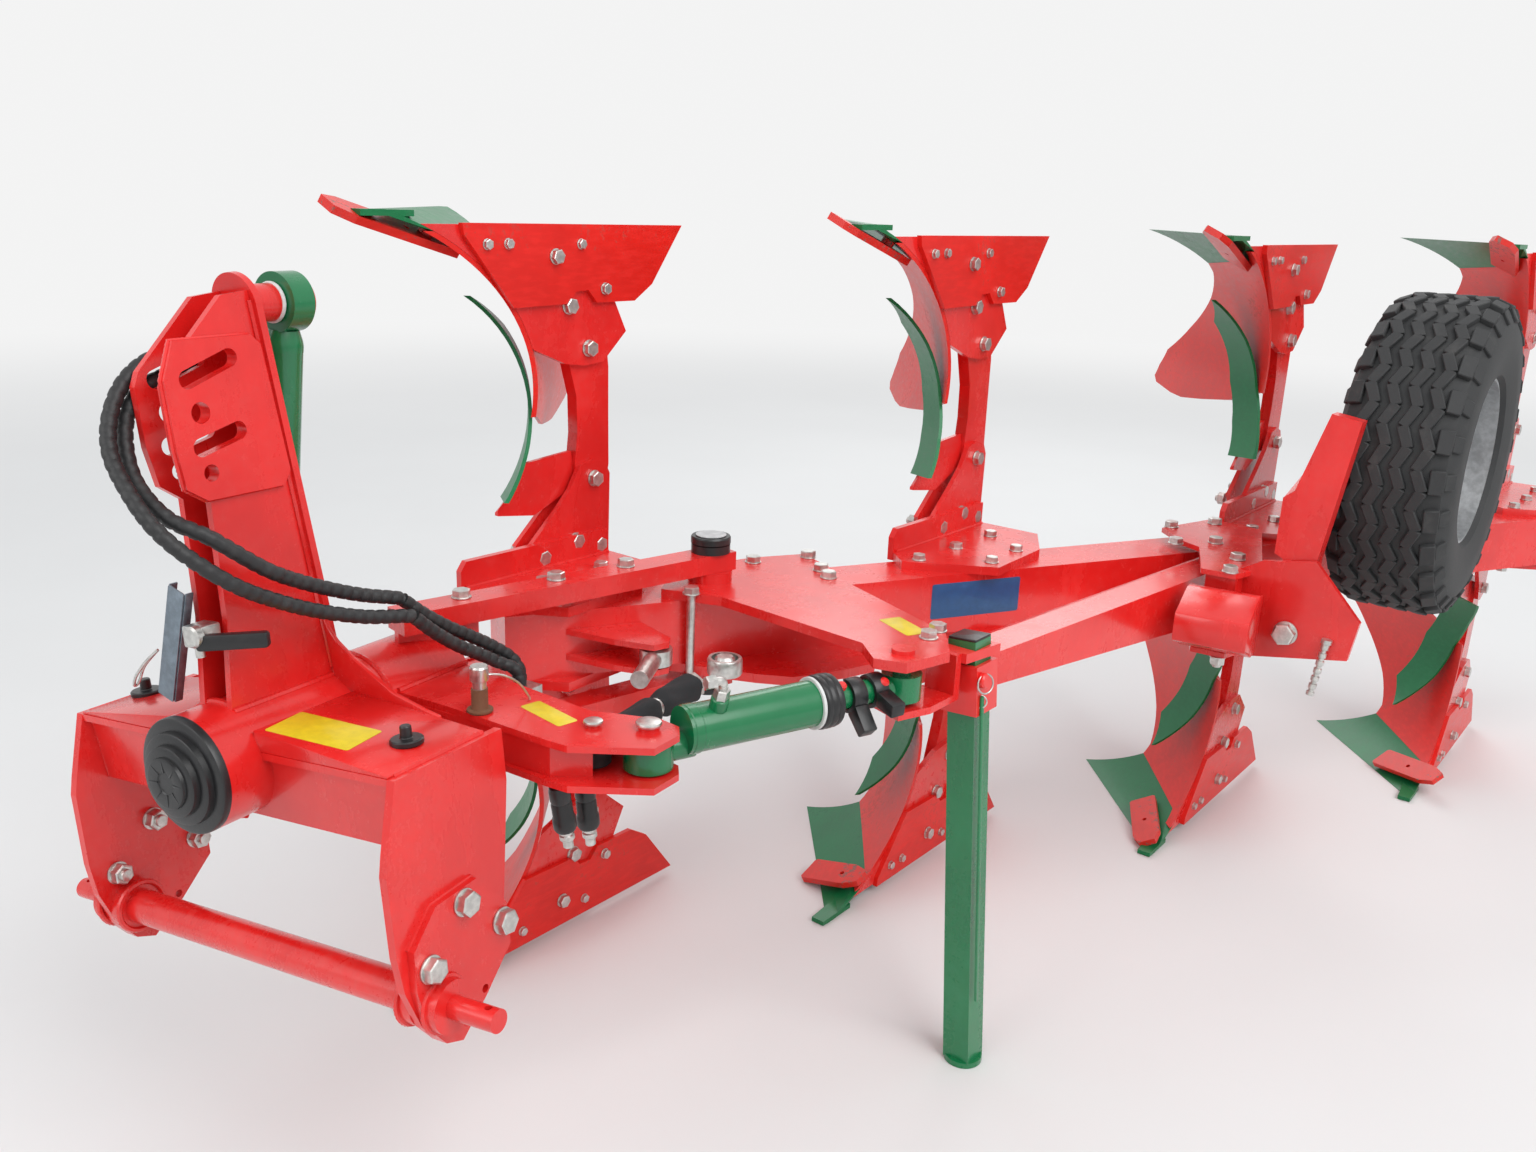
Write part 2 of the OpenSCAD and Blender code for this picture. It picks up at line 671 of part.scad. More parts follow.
// a frame on the hollow face over the plan point x, y, z out of the face
module on_board(x, y) {
  across = (x - board_at[0]) * sin(board_yaw) - (y + landside_t) * cos(board_yaw);
  along = -(x - board_at[0]) * cos(board_yaw) - (y + landside_t) * sin(board_yaw);
  translate([0, 0, axis_h]) mirror([0, 0, 1]) board_frame() translate([0, 0, along])
    rotate([0, 0, asin(across / board_r)]) translate([board_r, 0, 0]) rotate([0, -90, 0]) children();
}

// a bolted point, its bolt hole at x, y, turned from the way of travel, raised off the share on its
// seat, its length ahead of the bolt and how far its tip is tilted off the share
module point_bar(x, y, turn, lift, ahead, rise) {
  on_board(x, y) rotate([0, 0, 180 - board_yaw + turn]) {
    translate([0, 0, lift]) rotate([0, -rise, 0]) linear_extrude(point_t) difference() {
      polygon([[-point_back, -point_w / 2 + 6], [-point_back + 6, -point_w / 2], [ahead - 42, -point_w / 2],
        [ahead, -point_w / 2 + 16], [ahead, point_w / 2 - 16], [ahead - 42, point_w / 2],
        [-point_back + 6, point_w / 2], [-point_back, point_w / 2 - 6]]);
      translate([47, 0]) circle(d = 13);
    }
    translate([0, 0, 0.3]) cylinder(h = lift, d = 30);
  }
}

// the green strip over each moldboard, cut from a tighter tube beside the same line
module strip_frame() {
  translate([strip_q * sin(strip_yaw), -strip_q * cos(strip_yaw), axis_h - strip_h])
    rotate([0, 0, strip_yaw]) rotate([0, -90, 0]) translate([0, 0, -700]) children();
}

module trashboard() {
  intersection() {
    strip_frame() difference() {
      cylinder(h = 1400, r = strip_r + strip_t, $fn = 120);
      translate([0, 0, -1]) cylinder(h = 1402, r = strip_r, $fn = 120);
    }
    rotate([0, 0, strip_yaw]) translate([0, -600, axis_h]) rotate([-90, 0, 0]) linear_extrude(600)
      polygon(strip_pts);
  }
}

module trashboard_lug() {
  difference() {
    upright(-47, 10) polygon(lug_pts);
    strip_frame() cylinder(h = 1400, r = strip_r + strip_t, $fn = 120);
    legs();
  }
}

module upper_base_plates() { color("red") at_bodies(true) base_plates(); }
module lower_base_plates() { color("red") at_bodies(false) base_plates(); }
module upper_leg_brackets() { color("red") at_bodies(true) leg_brackets(); }
module lower_leg_brackets() { color("red") at_bodies(false) leg_brackets(); }
module upper_legs() { color("red") at_bodies(true) legs(); }
module lower_legs() { color("red") at_bodies(false) legs(); }
module upper_frogs() { color("red") at_bodies(true) frogs(); }
module lower_frogs() { color("red") at_bodies(false) frogs(); }
module upper_landsides() { color("red") at_bodies(true) landsides(); }
module lower_landsides() { color("red") at_bodies(false) landsides(); }
module upper_moldboards() { color("red") at_bodies(true) cut_board(board_pts); }
module lower_moldboards() { color("red") at_bodies(false) cut_board(board_pts); }
module share() {
  cut_board(share_pts);
  flat(axis_h - 12, 11.5) polygon(nose_pts);
}

module upper_shares() { color("green") at_bodies(true) share(); }
module lower_shares() { color("green") at_bodies(false) share(); }
module upper_points() {
  color("red") at_bodies(true) difference() {
    point_bar(652, -64, 4, 12, 232, 4.5);
    share();
  }
}

module lower_points() {
  color("red") field() for (i = stations) translate([-body_pitch * i, body_step * i, 0]) mirror([0, 0, 1])
    difference() {
      point_bar(loose[i][0], loose[i][1], loose[i][2], loose[i][3], loose[i][4], loose[i][5]);
      share();
    }
}

module upper_trashboards() { color("green") at_bodies(true) trashboard(); }
module lower_trashboards() { color("green") at_bodies(false) trashboard(); }
module upper_trashboard_lugs() { color("red") at_bodies(true) trashboard_lug(); }
module lower_trashboard_lugs() { color("red") at_bodies(false) trashboard_lug(); }

// stand leg
module along_stand() {
  field() translate([stand_at[0], stand_at[1], -axis_h]) rotate([stand_lean, 0, 0]) children();
}

module stand_leg() {
  color("green") {
    along_stand() translate([-stand_s / 2, -stand_s / 2, 8]) cube([stand_s, stand_s, axis_h + 78]);
    field() translate([stand_at[0], stand_at[1], -axis_h]) cylinder(h = 12, d = foot_d);
  }
}

module stand_socket() {
  color("red") difference() {
    union() {
      along_stand() translate([-stand_s / 2 - 10, -stand_s / 2 - 10, axis_h - 60])
        cube([stand_s + 20, stand_s + 20, 100]);
      field() flat(half_s - 20, 20) polygon([[95, 855], [199.7, 865], [199.7, 935], [95, 950]]);
    }
    along_stand() translate([-stand_s / 2 - 1, -stand_s / 2 - 1, 0]) cube([stand_s + 2, stand_s + 2, 2000]);
  }
}

// depth wheel
module wheel_bracket() {
  color("red") field() {
    top_and_bottom() flat(half_s + plate_t, 12) polygon(wheel_base_pts);
    flat(-half_s - plate_t, 2 * half_s + 2 * plate_t) polygon([[-690, 1080], [-640, 1080], [-640, 1150],
      [-690, 1150]]);
    translate([-690, 0, 0]) rotate([90, 0, -90]) linear_extrude(15) mirror([1, 0])
      polygon(wheel_plate_pts);
    translate([-756, wheel_pivot[1], wheel_pivot[2]]) rotate([0, 90, 0]) cylinder(h = 60, d = 40);
  }
}

module wheel_arm() {
  color("red") field() {
    translate([-709, 0, 0]) rotate([90, 0, -90]) mirror([1, 0, 0]) {
      linear_extrude(40) difference() {
        polygon(wheel_arm_pts);
        translate([wheel_pivot[1], wheel_pivot[2]]) circle(d = 40.1);
      }
    }
    upright(1205, 20) polygon(wheel_brace_pts);
    translate([wheel_at[0], 1205, wheel_at[2]]) rotate([-90, 0, 0]) cylinder(h = 270, d = 40);
    translate([wheel_at[0], 1205, wheel_at[2]]) rotate([-90, 0, 0]) cylinder(h = 112, d = 66);
  }
}

module at_wheel() {
  field() translate(wheel_at) rotate([90, 0, 0]) children();
}

module wheel_rim() {
  color("silver") at_wheel() difference() {
    union() {
      cylinder(h = 150, d = 90, center = true);
      difference() {
        cylinder(h = 220, d = rim_d, center = true);
        cylinder(h = 222, d = rim_d - 12, center = true);
      }
      translate([0, 0, -20]) cylinder(h = 8, d = rim_d - 6);
    }
    cylinder(h = 400, d = 40.1, center = true);
  }
}

module wheel_tyre() {
  color("black") at_wheel() rotate_extrude($fn = 96) polygon([
    [rim_d / 2, -110], [rim_d / 2 + 60, -tyre_w / 2], [tyre_d / 2 - 50, -tyre_w / 2 + 4],
    [tyre_d / 2, -tyre_w / 2 + 50], [tyre_d / 2, tyre_w / 2 - 50], [tyre_d / 2 - 50, tyre_w / 2 - 4],
    [rim_d / 2 + 60, tyre_w / 2], [rim_d / 2, 110]]);
}

headstock_box();
headstock_side_plates();
mast_plates();
mast_flange();
lower_link_shaft();
bearing_cap();
turnover_barrel();
turnover_rod();
turning_hub();
cylinder_arm();
link_bars();
pivot_pin();
swing_barrel();
swing_rod();
main_beam();
bracket_plates();
beam_strut();
upper_base_plates();
lower_base_plates();
upper_leg_brackets();
lower_leg_brackets();
upper_legs();
lower_legs();
upper_frogs();
lower_frogs();
upper_landsides();
lower_landsides();
upper_moldboards();
lower_moldboards();
upper_shares();
lower_shares();
upper_points();
lower_points();
upper_trashboards();
lower_trashboards();
upper_trashboard_lugs();
lower_trashboard_lugs();
link_sleeve();
link_rod_end();
link_lugs();
front_hoses();
rear_hoses();
hose_block();
stand_leg();
stand_socket();
wheel_bracket();
wheel_arm();
wheel_rim();
wheel_tyre();
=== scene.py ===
# %% [markdown]
# This is a four-furrow reversible plough, parked on its lower bodies, its depth wheel and its stand leg.
# The construction comes from CAD as a fixed frame, and this script dresses it: paint, fasteners, weld
# beads, tyre tread, hose wrap, caps and pins. We start by loading the frame.

# %% Load the frame
import bpy
import math
from mathutils import Matrix, Vector


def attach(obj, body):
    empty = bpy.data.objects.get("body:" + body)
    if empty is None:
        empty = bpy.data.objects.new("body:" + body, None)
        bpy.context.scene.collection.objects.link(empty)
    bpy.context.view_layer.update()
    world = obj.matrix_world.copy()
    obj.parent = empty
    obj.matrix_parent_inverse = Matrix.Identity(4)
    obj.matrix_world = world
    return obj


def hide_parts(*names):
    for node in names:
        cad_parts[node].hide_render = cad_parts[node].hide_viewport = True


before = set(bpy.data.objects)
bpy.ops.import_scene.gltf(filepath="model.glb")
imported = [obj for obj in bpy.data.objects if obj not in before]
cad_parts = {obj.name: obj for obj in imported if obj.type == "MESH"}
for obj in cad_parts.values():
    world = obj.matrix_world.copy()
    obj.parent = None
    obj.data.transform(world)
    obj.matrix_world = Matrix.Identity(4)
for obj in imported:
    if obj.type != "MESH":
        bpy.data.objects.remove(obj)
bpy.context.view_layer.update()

# %% [markdown]
# Farm machines are drawn in millimetres from a few natural axes: the level axis that the plough turns
# over about, the headstock that leans a little on it, and the field frame that runs along the furrow
# slices. Each one becomes a matrix that takes a point in millimetres to its place in the scene, so a
# bolt can be written down where a fitter would measure it.

# %% The working frames
HUB = Vector((620.4, -914.7, 840.0))
MM = Matrix.Scale(0.001, 4)


def shift(x, y, z):
    return Matrix.Translation((x, y, z))


def rotate(degrees, axis):
    return Matrix.Rotation(math.radians(degrees), 4, axis)


LEVEL = MM @ shift(*HUB)
HEAD = LEVEL @ rotate(5.5, "X")
FIELD = LEVEL @ shift(0, -17.9, 0) @ rotate(-9.5, "Z")
STATIONS, PITCH, STEP = range(4), 900, 468.5
UPSIDE_DOWN = Matrix.Scale(-1, 4, (0, 0, 1))


def furrow(i, up):
    """The frame of plough body i: x forward from the landside's rear corner, z away from the axis."""
    return FIELD @ shift(-PITCH * i, STEP * i, 0) @ (Matrix.Identity(4) if up else UPSIDE_DOWN)


print("hub at", [round(v, 3) for v in LEVEL.translation], "last body at",
      [round(v, 3) for v in furrow(3, True).translation])

# %% [markdown]
# The photograph was taken by someone standing ahead of the plough on its left, holding a phone with a
# wide lens a little above the box. The camera's three directions were solved from known sizes, so they
# are written as the columns of its matrix: right, up, and backwards out of the picture.

# %% Camera
eye = bpy.data.objects.new("Photo_Camera", bpy.data.cameras.new("Photo_Camera"))
bpy.context.scene.collection.objects.link(eye)
right, down, ahead = (Vector(v) for v in ((-0.4905, 0.8706, 0.0372), (0.2307, 0.1709, -0.9579),
                                          (-0.8404, -0.4613, -0.2847)))
eye.matrix_world = shift(3.1443, 0.7130, 1.7237) @ Matrix((right, -down, -ahead)).transposed().to_4x4()
eye.data.sensor_width = 36
eye.data.lens = 29.744
bpy.context.scene.camera = eye
bpy.context.scene.view_settings.view_transform = "Standard"
print("camera lens", eye.data.lens, "mm, height", round(eye.location.z, 2), "m")

# %% [markdown]
# Shader maths reads best as plain sums. Wire holds one output socket and turns +, - and * into Math
# nodes. Tree makes every other node with one method, and Finish is a tree that owns a material.

# %% A small language for finishes


class Wire:
    def __init__(self, finish, socket):
        self.finish, self.socket = finish, socket

    def sum(self, kind, first, second):
        return self.finish.node("ShaderNodeMath", {"operation": kind}, {0: first, 1: second})

    def __add__(self, other):
        return self.sum("ADD", self, other)

    def __radd__(self, other):
        return self.sum("ADD", other, self)

    def __sub__(self, other):
        return self.sum("SUBTRACT", self, other)

    def __rsub__(self, other):
        return self.sum("SUBTRACT", other, self)

    def __mul__(self, other):
        return self.sum("MULTIPLY", self, other)

    def __rmul__(self, other):
        return self.sum("MULTIPLY", other, self)


class Tree:
    def __init__(self, tree):
        self.tree = tree

    def node(self, kind, settings, inputs, out=0):
        made = self.tree.nodes.new(kind)
        for key, value in settings.items():
            if key == "stops":
                ramp = made.color_ramp
                while len(ramp.elements) < len(value):
                    ramp.elements.new(0.5)
                for stop, (place, colour) in zip(ramp.elements, value):
                    stop.position, stop.color = place, (*colour, 1)
            else:
                setattr(made, key, value)
        for key, value in inputs.items():
            if isinstance(value, Wire):
                self.tree.links.new(value.socket, made.inputs[key])
            else:
                made.inputs[key].default_value = value
        return Wire(self, made.outputs[out])

    def mix(self, mask, under, over):
        a, b = ((*c, 1) if isinstance(c, tuple) else c for c in (under, over))
        return self.node("ShaderNodeMix", {"data_type": "RGBA"}, {0: mask, 6: a, 7: b}, 2)

    def step(self, value, low, high):
        return self.node("ShaderNodeMapRange", {"interpolation_type": "SMOOTHSTEP"},
                         {"Value": value, "From Min": low, "From Max": high})


class Finish(Tree):
    def __init__(self, name, roughness=0.4, metallic=0.0, coat=0.0, coat_roughness=0.1):
        self.material = bpy.data.materials.new(name)
        self.material.use_nodes = True
        super().__init__(self.material.node_tree)
        self.skin = self.tree.nodes["Principled BSDF"]
        for key, value in (("Roughness", roughness), ("Metallic", metallic), ("Coat Weight", coat),
                           ("Coat Roughness", coat_roughness)):
            self.skin.inputs[key].default_value = value

    def place(self, size=(1, 1, 1), turn=(0, 0, 0)):
        spot = self.node("ShaderNodeTexCoord", {}, {}, "Object")
        return self.node("ShaderNodeMapping", {}, {"Vector": spot, "Scale": size, "Rotation": turn})

    def noise(self, scale, detail=4.0, rough=0.55, place=None):
        return self.node("ShaderNodeTexNoise", {}, {"Vector": place or self.place(), "Scale": scale,
                                                    "Detail": detail, "Roughness": rough})

    def wear(self, key, value):
        self.tree.links.new(value.socket, self.skin.inputs[key])

    def relief(self, height, depth, strength=1.0):
        bump = self.node("ShaderNodeBump", {}, {"Height": height, "Distance": depth, "Strength": strength})
        self.wear("Normal", bump)


print("finish language ready")

# %% [markdown]
# The red and green parts are powder coated: thick, glossy paint with a faint orange-peel skin. It is
# never one flat colour. Pale patches dull the gloss and wash the colour a shade lighter: partly yard dust,
# partly painted highlight, the sky's sheen painted into the colour. The film is a little darker where it
# ran thick, and fine grit lies on the faces near the ground.

# %% Gloss paint


def gloss_paint(name, colour, patch_colour, roughness=0.24):
    coat = Finish(name, roughness, 0.0, 0.35, 0.12)
    broad = coat.noise(3.2, 5, 0.6)
    grit = coat.noise(46, 6, 0.7)
    streaks = coat.noise(9, 5, 0.62, coat.place((1, 1, 0.22)))
    worn = tuple(min(1, 1.16 * c + 0.006) for c in colour)
    height = coat.node("ShaderNodeSeparateXYZ", {}, {"Vector": coat.place()}, "Z")
    low = 1 - coat.step(height, 0.05, 0.75)
    thick = coat.mix(coat.step(broad, 0.35, 0.7), tuple(0.82 * c for c in colour), colour)
    film = coat.mix(coat.step(streaks, 0.45, 0.75) * 0.35, thick, worn)
    # Pale patches, partly yard dust that gathers near the ground and partly painted highlight: the sky's sheen
    # painted into the base colour.
    dust_and_sheen = coat.step(grit * 0.6 + broad * 0.5, 0.5, 0.78) * (0.10 + low * 0.34)
    coat.wear("Base Color", coat.mix(dust_and_sheen, film, patch_colour))
    coat.wear("Roughness", roughness + dust_and_sheen * 0.55 + coat.step(streaks, 0.4, 0.8) * 0.1)
    peel = coat.noise(520, 2, 0.4)
    coat.relief(peel * 0.35 + coat.noise(26, 3) * 0.65, 0.0006, 0.45)
    return coat.material


# The third colour of each paint is its pale patch colour, which stands for yard dust and for painted highlight.
RED = gloss_paint("Red_Powder_Coat", (0.78, 0.016, 0.014), (0.66, 0.20, 0.17))
GREEN = gloss_paint("Green_Gloss_Paint", (0.002, 0.180, 0.058), (0.04, 0.25, 0.12), 0.22)
print("paints:", RED.name, GREEN.name)

# %% [markdown]
# The moldboards and points are the same red, but they are rolled and ground steel under a thin coat.
# Faint curved draw marks show through it, and the tips of the points are scuffed dull by handling.

# %% Thin paint on the working faces


def board_paint(name, colour, bare, amount):
    thin = Finish(name, 0.3, 0.0, 0.12, 0.2)
    thin.skin.inputs["Specular IOR Level"].default_value = 0.32
    drawn = thin.noise(60, 3, 0.5, thin.place((0.35, 1, 1.6), (0.3, 0.4, 0.7)))
    cloud = thin.noise(5, 5, 0.6)
    chips = thin.step(thin.noise(70, 8, 0.75) * 0.55 + cloud * 0.45, 0.56, 0.60) * amount
    body = thin.mix(thin.step(cloud, 0.35, 0.7), tuple(0.84 * c for c in colour), colour)
    film = thin.mix(thin.step(drawn, 0.42, 0.7) * 0.25, body, tuple(min(1, 1.2 * c + 0.015) for c in colour))
    thin.wear("Base Color", thin.mix(chips, film, bare))
    thin.wear("Roughness", 0.26 + drawn * 0.22 + chips * 0.25)
    thin.relief(drawn * 0.6 + thin.noise(400, 2) * 0.4 - chips * 0.6, 0.0005, 0.5)
    return thin.material


BOARD_RED = board_paint("Red_Board_Paint", (0.76, 0.014, 0.008), (0.38, 0.07, 0.05), 0.4)
SHARE_GREEN = board_paint("Green_Share_Paint", (0.001, 0.170, 0.052), (0.03, 0.14, 0.07), 0.5)
TIP_RED = board_paint("Red_Point_Paint", (0.70, 0.02, 0.012), (0.20, 0.13, 0.11), 0.9)
print("working faces:", BOARD_RED.name, SHARE_GREEN.name, TIP_RED.name)

# %% [markdown]
# Fasteners are zinc plated. Zinc is a metal with a cloudy, slightly warm grey spangle. The cylinder rod
# is hard chrome, smooth enough to mirror the sky, and the turning cap and pivot cap are black plastic.

# %% Metals, rubber and plastic


def plated(name, colour, roughness, spangle):
    metal = Finish(name, roughness, 0.92)
    cloud = metal.noise(spangle, 4, 0.6)
    dim = tuple(0.72 * c for c in colour)
    metal.wear("Base Color", metal.mix(metal.step(cloud, 0.3, 0.75), dim, colour))
    metal.wear("Roughness", roughness - 0.08 + cloud * 0.22)
    metal.relief(metal.noise(300, 3), 0.0003, 0.35)
    return metal.material


def dull_black(name, colour, roughness, grain, depth, patch_colour):
    dull = Finish(name, roughness)
    speck = dull.noise(grain, 5, 0.6)
    dust = dull.step(dull.noise(14, 6, 0.65), 0.5, 0.78) * 0.5
    dull.wear("Base Color", dull.mix(dust, dull.mix(speck, tuple(0.6 * c for c in colour), colour), patch_colour))
    dull.wear("Roughness", roughness - 0.06 + speck * 0.16 + dust * 0.2)
    dull.relief(speck, depth, 0.5)
    return dull.material


ZINC = plated("Zinc_Plate", (0.70, 0.69, 0.66), 0.30, 90)
CHROME = plated("Hard_Chrome", (0.80, 0.81, 0.83), 0.12, 30)
RIM_PAINT = plated("Silver_Rim_Paint", (0.60, 0.61, 0.62), 0.42, 60)
GREY_STEEL = plated("Grey_Painted_Steel", (0.26, 0.31, 0.36), 0.50, 70)
BLACK_CAP = dull_black("Black_Moulded_Cap", (0.016, 0.016, 0.017), 0.32, 180, 0.0004, (0.05, 0.05, 0.05))
TYRE = dull_black("Tyre_Rubber", (0.030, 0.031, 0.032), 0.68, 240, 0.0008, (0.085, 0.082, 0.078))
HOSE = dull_black("Wrapped_Hose", (0.020, 0.020, 0.021), 0.50, 160, 0.0005, (0.07, 0.068, 0.066))
SLEEVE = dull_black("Woven_Sleeve", (0.018, 0.018, 0.020), 0.85, 700, 0.0010, (0.04, 0.04, 0.04))
RUSTY = dull_black("Rusty_Post", (0.20, 0.085, 0.040), 0.75, 120, 0.0006, (0.30, 0.16, 0.08))
YELLOW = dull_black("Yellow_Film", (0.86, 0.66, 0.02), 0.35, 60, 0.0001, (0.80, 0.66, 0.14))
BLUE = dull_black("Blue_Film", (0.02, 0.09, 0.24), 0.30, 60, 0.0001, (0.05, 0.14, 0.30))
WHITE = dull_black("White_Plastic", (0.78, 0.78, 0.76), 0.45, 90, 0.0002, (0.66, 0.66, 0.63))

# %% [markdown]
# Each CAD node keeps its shape and takes the finish of the real piece. Most of the plough is red, so
# only the exceptions are listed.

# %% Finishes on the CAD nodes
EXCEPTIONS = {
    GREEN: ("turnover_barrel", "swing_barrel", "swing_rod", "stand_leg"),
    SHARE_GREEN: ("upper_shares", "lower_shares", "upper_trashboards", "lower_trashboards"),
    BOARD_RED: ("upper_moldboards", "lower_moldboards", "upper_landsides", "lower_landsides"),
    TIP_RED: ("upper_points", "lower_points"),
    CHROME: ("turnover_rod",), RIM_PAINT: ("wheel_rim",), TYRE: ("wheel_tyre",),
    BLACK_CAP: ("bearing_cap", "pivot_pin"), ZINC: ("link_rod_end", "hose_block"),
    SLEEVE: ("link_sleeve",), HOSE: ("front_hoses", "rear_hoses"),
}
finish_of = {name: paint for paint, names in EXCEPTIONS.items() for name in names}
for name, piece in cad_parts.items():
    piece.data.materials.clear()
    piece.data.materials.append(finish_of.get(name, RED))
print("painted", len(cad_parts), "nodes")

# %% [markdown]
# The yard becomes a plain pale floor that only catches the shadow, under a soft white sky. The gloss
# needs something to mirror, so the sky is a little brighter overhead than at the horizon, as on the
# overcast day of the photograph, and one broad lamp gives the shadows their direction.

# %% Floor, sky and lamps
def bench():
    """Back to object mode with nothing selected, so that an operator acts only on the next piece."""
    if bpy.context.object and bpy.context.object.mode != "OBJECT":
        bpy.ops.object.mode_set(mode="OBJECT")
    bpy.ops.object.select_all(action="DESELECT")


bench()
bpy.ops.mesh.primitive_circle_add(vertices=96, radius=90, fill_type="NGON", location=(0, 0, -0.001))
floor = bpy.context.object
floor.name = "Yard_Floor"
PAPER = (0.90, 0.90, 0.90)
slab = Finish("Pale_Floor", 0.85)
slab.wear("Base Color", slab.mix(slab.noise(0.8, 4), (0.70, 0.70, 0.69), (0.75, 0.75, 0.74)))
reach = slab.node("ShaderNodeVectorMath", {"operation": "LENGTH"}, {0: slab.place()}, "Value")
paper = slab.node("ShaderNodeEmission", {}, {"Color": (*PAPER, 1)})
ray = slab.node("ShaderNodeLightPath", {}, {}, "Is Camera Ray")
far = slab.step(reach, 3.5, 15) * ray
sheet = slab.node("ShaderNodeMixShader", {}, {0: far, 1: Wire(slab, slab.skin.outputs[0]), 2: paper})
slab.tree.links.new(sheet.socket, slab.tree.nodes["Material Output"].inputs[0])
floor.data.materials.append(slab.material)

sky = bpy.data.worlds.new("Overcast")
bpy.context.scene.world = sky
sky.use_nodes = True
air = Tree(sky.node_tree)
glow = sky.node_tree.nodes["Background"]
dome = air.node("ShaderNodeTexCoord", {}, {}, "Generated")
rise = air.node("ShaderNodeSeparateXYZ", {}, {0: dome}, "Z")
cloud = air.node("ShaderNodeValToRGB", {"stops": ((0.0, (0.36, 0.37, 0.39)), (0.55, (0.80, 0.82, 0.85)))},
                 {"Fac": rise})
white = air.node("ShaderNodeLightPath", {}, {}, "Is Camera Ray")
for kind in ("Is Glossy Ray", "Is Transmission Ray"):
    white = white.sum("MAXIMUM", white, air.node("ShaderNodeLightPath", {}, {}, kind))
sky.node_tree.links.new(air.mix(white, cloud, PAPER).socket, glow.inputs["Color"])
glow.inputs["Strength"].default_value = 1.0

LAMPS = (("Key_Softbox", (2.5, 4.5, 6.0), 330, 5.0), ("Fill_Softbox", (6.5, -3.0, 4.0), 110, 4.0),
         ("Rear_Softbox", (-6.0, -2.0, 5.5), 120, 4.0))
for name, spot, power, size in LAMPS:
    lamp = bpy.data.objects.new(name, bpy.data.lights.new(name, "AREA"))
    lamp.data.energy, lamp.data.size = power, size
    lamp.location = spot
    lamp.rotation_euler = (Vector((0, 0, 0.7)) - Vector(spot)).to_track_quat("-Z", "Y").to_euler()
    bpy.context.scene.collection.objects.link(lamp)
print("floor, sky and three lamps")

# %% [markdown]
# Most of what makes a machine look real is its fasteners. A hexagon bolt is modelled once: a six-sided
# primitive whose top face is inset and pushed up for the chamfer, on a round washer with broken edges.
# Every other bolt is a copy of it, scaled to its size and stood on its plate by a short table.

# %% One bolt, one nut and the tools to place them


def face_pick(piece, test):
    """Edit mode with just the faces selected whose centre and normal pass the test."""
    bpy.ops.object.mode_set(mode="EDIT")
    bpy.ops.mesh.select_mode(type="FACE")
    bpy.ops.mesh.select_all(action="DESELECT")
    bpy.ops.object.mode_set(mode="OBJECT")
    for face in piece.data.polygons:
        face.select = test(face.center, face.normal)
    bpy.ops.object.mode_set(mode="EDIT")


def soften(piece, width, segments=2, angle=30):
    """Breaks the edges of the piece and applies it."""
    edge = piece.modifiers.new("Broken_Edge", "BEVEL")
    edge.width, edge.segments = width, segments
    edge.limit_method, edge.angle_limit = "ANGLE", math.radians(angle)
    bpy.ops.object.select_all(action="DESELECT")
    bpy.context.view_layer.objects.active = piece
    piece.select_set(True)
    bpy.ops.object.modifier_apply(modifier=edge.name)
    bpy.ops.object.shade_smooth_by_angle(angle=math.radians(40))


def join(name, parts):
    bench()
    for part in parts:
        part.select_set(True)
    bpy.context.view_layer.objects.active = parts[0]
    if len(parts) > 1:
        bpy.ops.object.join()
    whole = bpy.context.object
    bpy.ops.object.transform_apply(location=True, rotation=True, scale=True)
    whole.name = whole.data.name = name
    return whole


def round_bar(radius, length, edge, sides=32):
    """A round bar standing on the origin, with broken edges."""
    bench()
    bpy.ops.mesh.primitive_cylinder_add(vertices=sides, radius=radius, depth=length, location=(0, 0, length / 2))
    bar = bpy.context.object
    soften(bar, edge)
    return bar


def hexagon(across, height, at=0.0):
    """A bolt's head: six sides with a raised, inset top, standing on z = at."""
    bench()
    bpy.ops.mesh.primitive_cylinder_add(vertices=6, radius=across / 2 / math.cos(math.pi / 6), depth=height,
                                        location=(0, 0, at + height / 2))
    head = bpy.context.object
    face_pick(head, lambda centre, normal: normal.z > 0.9)
    bpy.ops.mesh.inset(thickness=across * 0.07)
    bpy.ops.transform.translate(value=(0, 0, height * 0.10))
    bpy.ops.object.mode_set(mode="OBJECT")
    bpy.ops.object.transform_apply(location=True, rotation=True, scale=True)
    return head


washer = round_bar(18.5, 3.0, edge=0.7)
PATTERNS = {"bolt": join("Bolt_Pattern", [hexagon(30, 12, 3.0), washer])}
PATTERNS["nut"] = join("Nut_Pattern", [hexagon(30, 16, 3.0), round_bar(18.5, 3.0, edge=0.7),
                                       round_bar(9.8, 27, edge=1.5, sides=20)])
PATTERNS["dome"] = join("Dome_Pattern", [round_bar(22, 9, edge=3.5)])
for name, pattern in PATTERNS.items():
    pattern.hide_render = True
    print(name, "faces", len(pattern.data.polygons))


# %% The fitter's table
PATTERN_SIZE = 20


def stood(pattern, place, at, way, size, turn):
    """A copy of a pattern, stood at a point of a frame along way, with its thread size in mm."""
    copy = PATTERNS[pattern].copy()
    copy.data = PATTERNS[pattern].data.copy()
    bpy.context.scene.collection.objects.link(copy)
    spin = Vector(way).to_track_quat("Z", "Y").to_matrix().to_4x4() @ Matrix.Rotation(turn, 4, "Z")
    matrix = place @ shift(*at) @ spin @ Matrix.Scale(size / PATTERN_SIZE, 4)
    copy.data.transform(matrix)
    if matrix.determinant() < 0:
        copy.data.flip_normals()
    copy.hide_render = False
    return copy


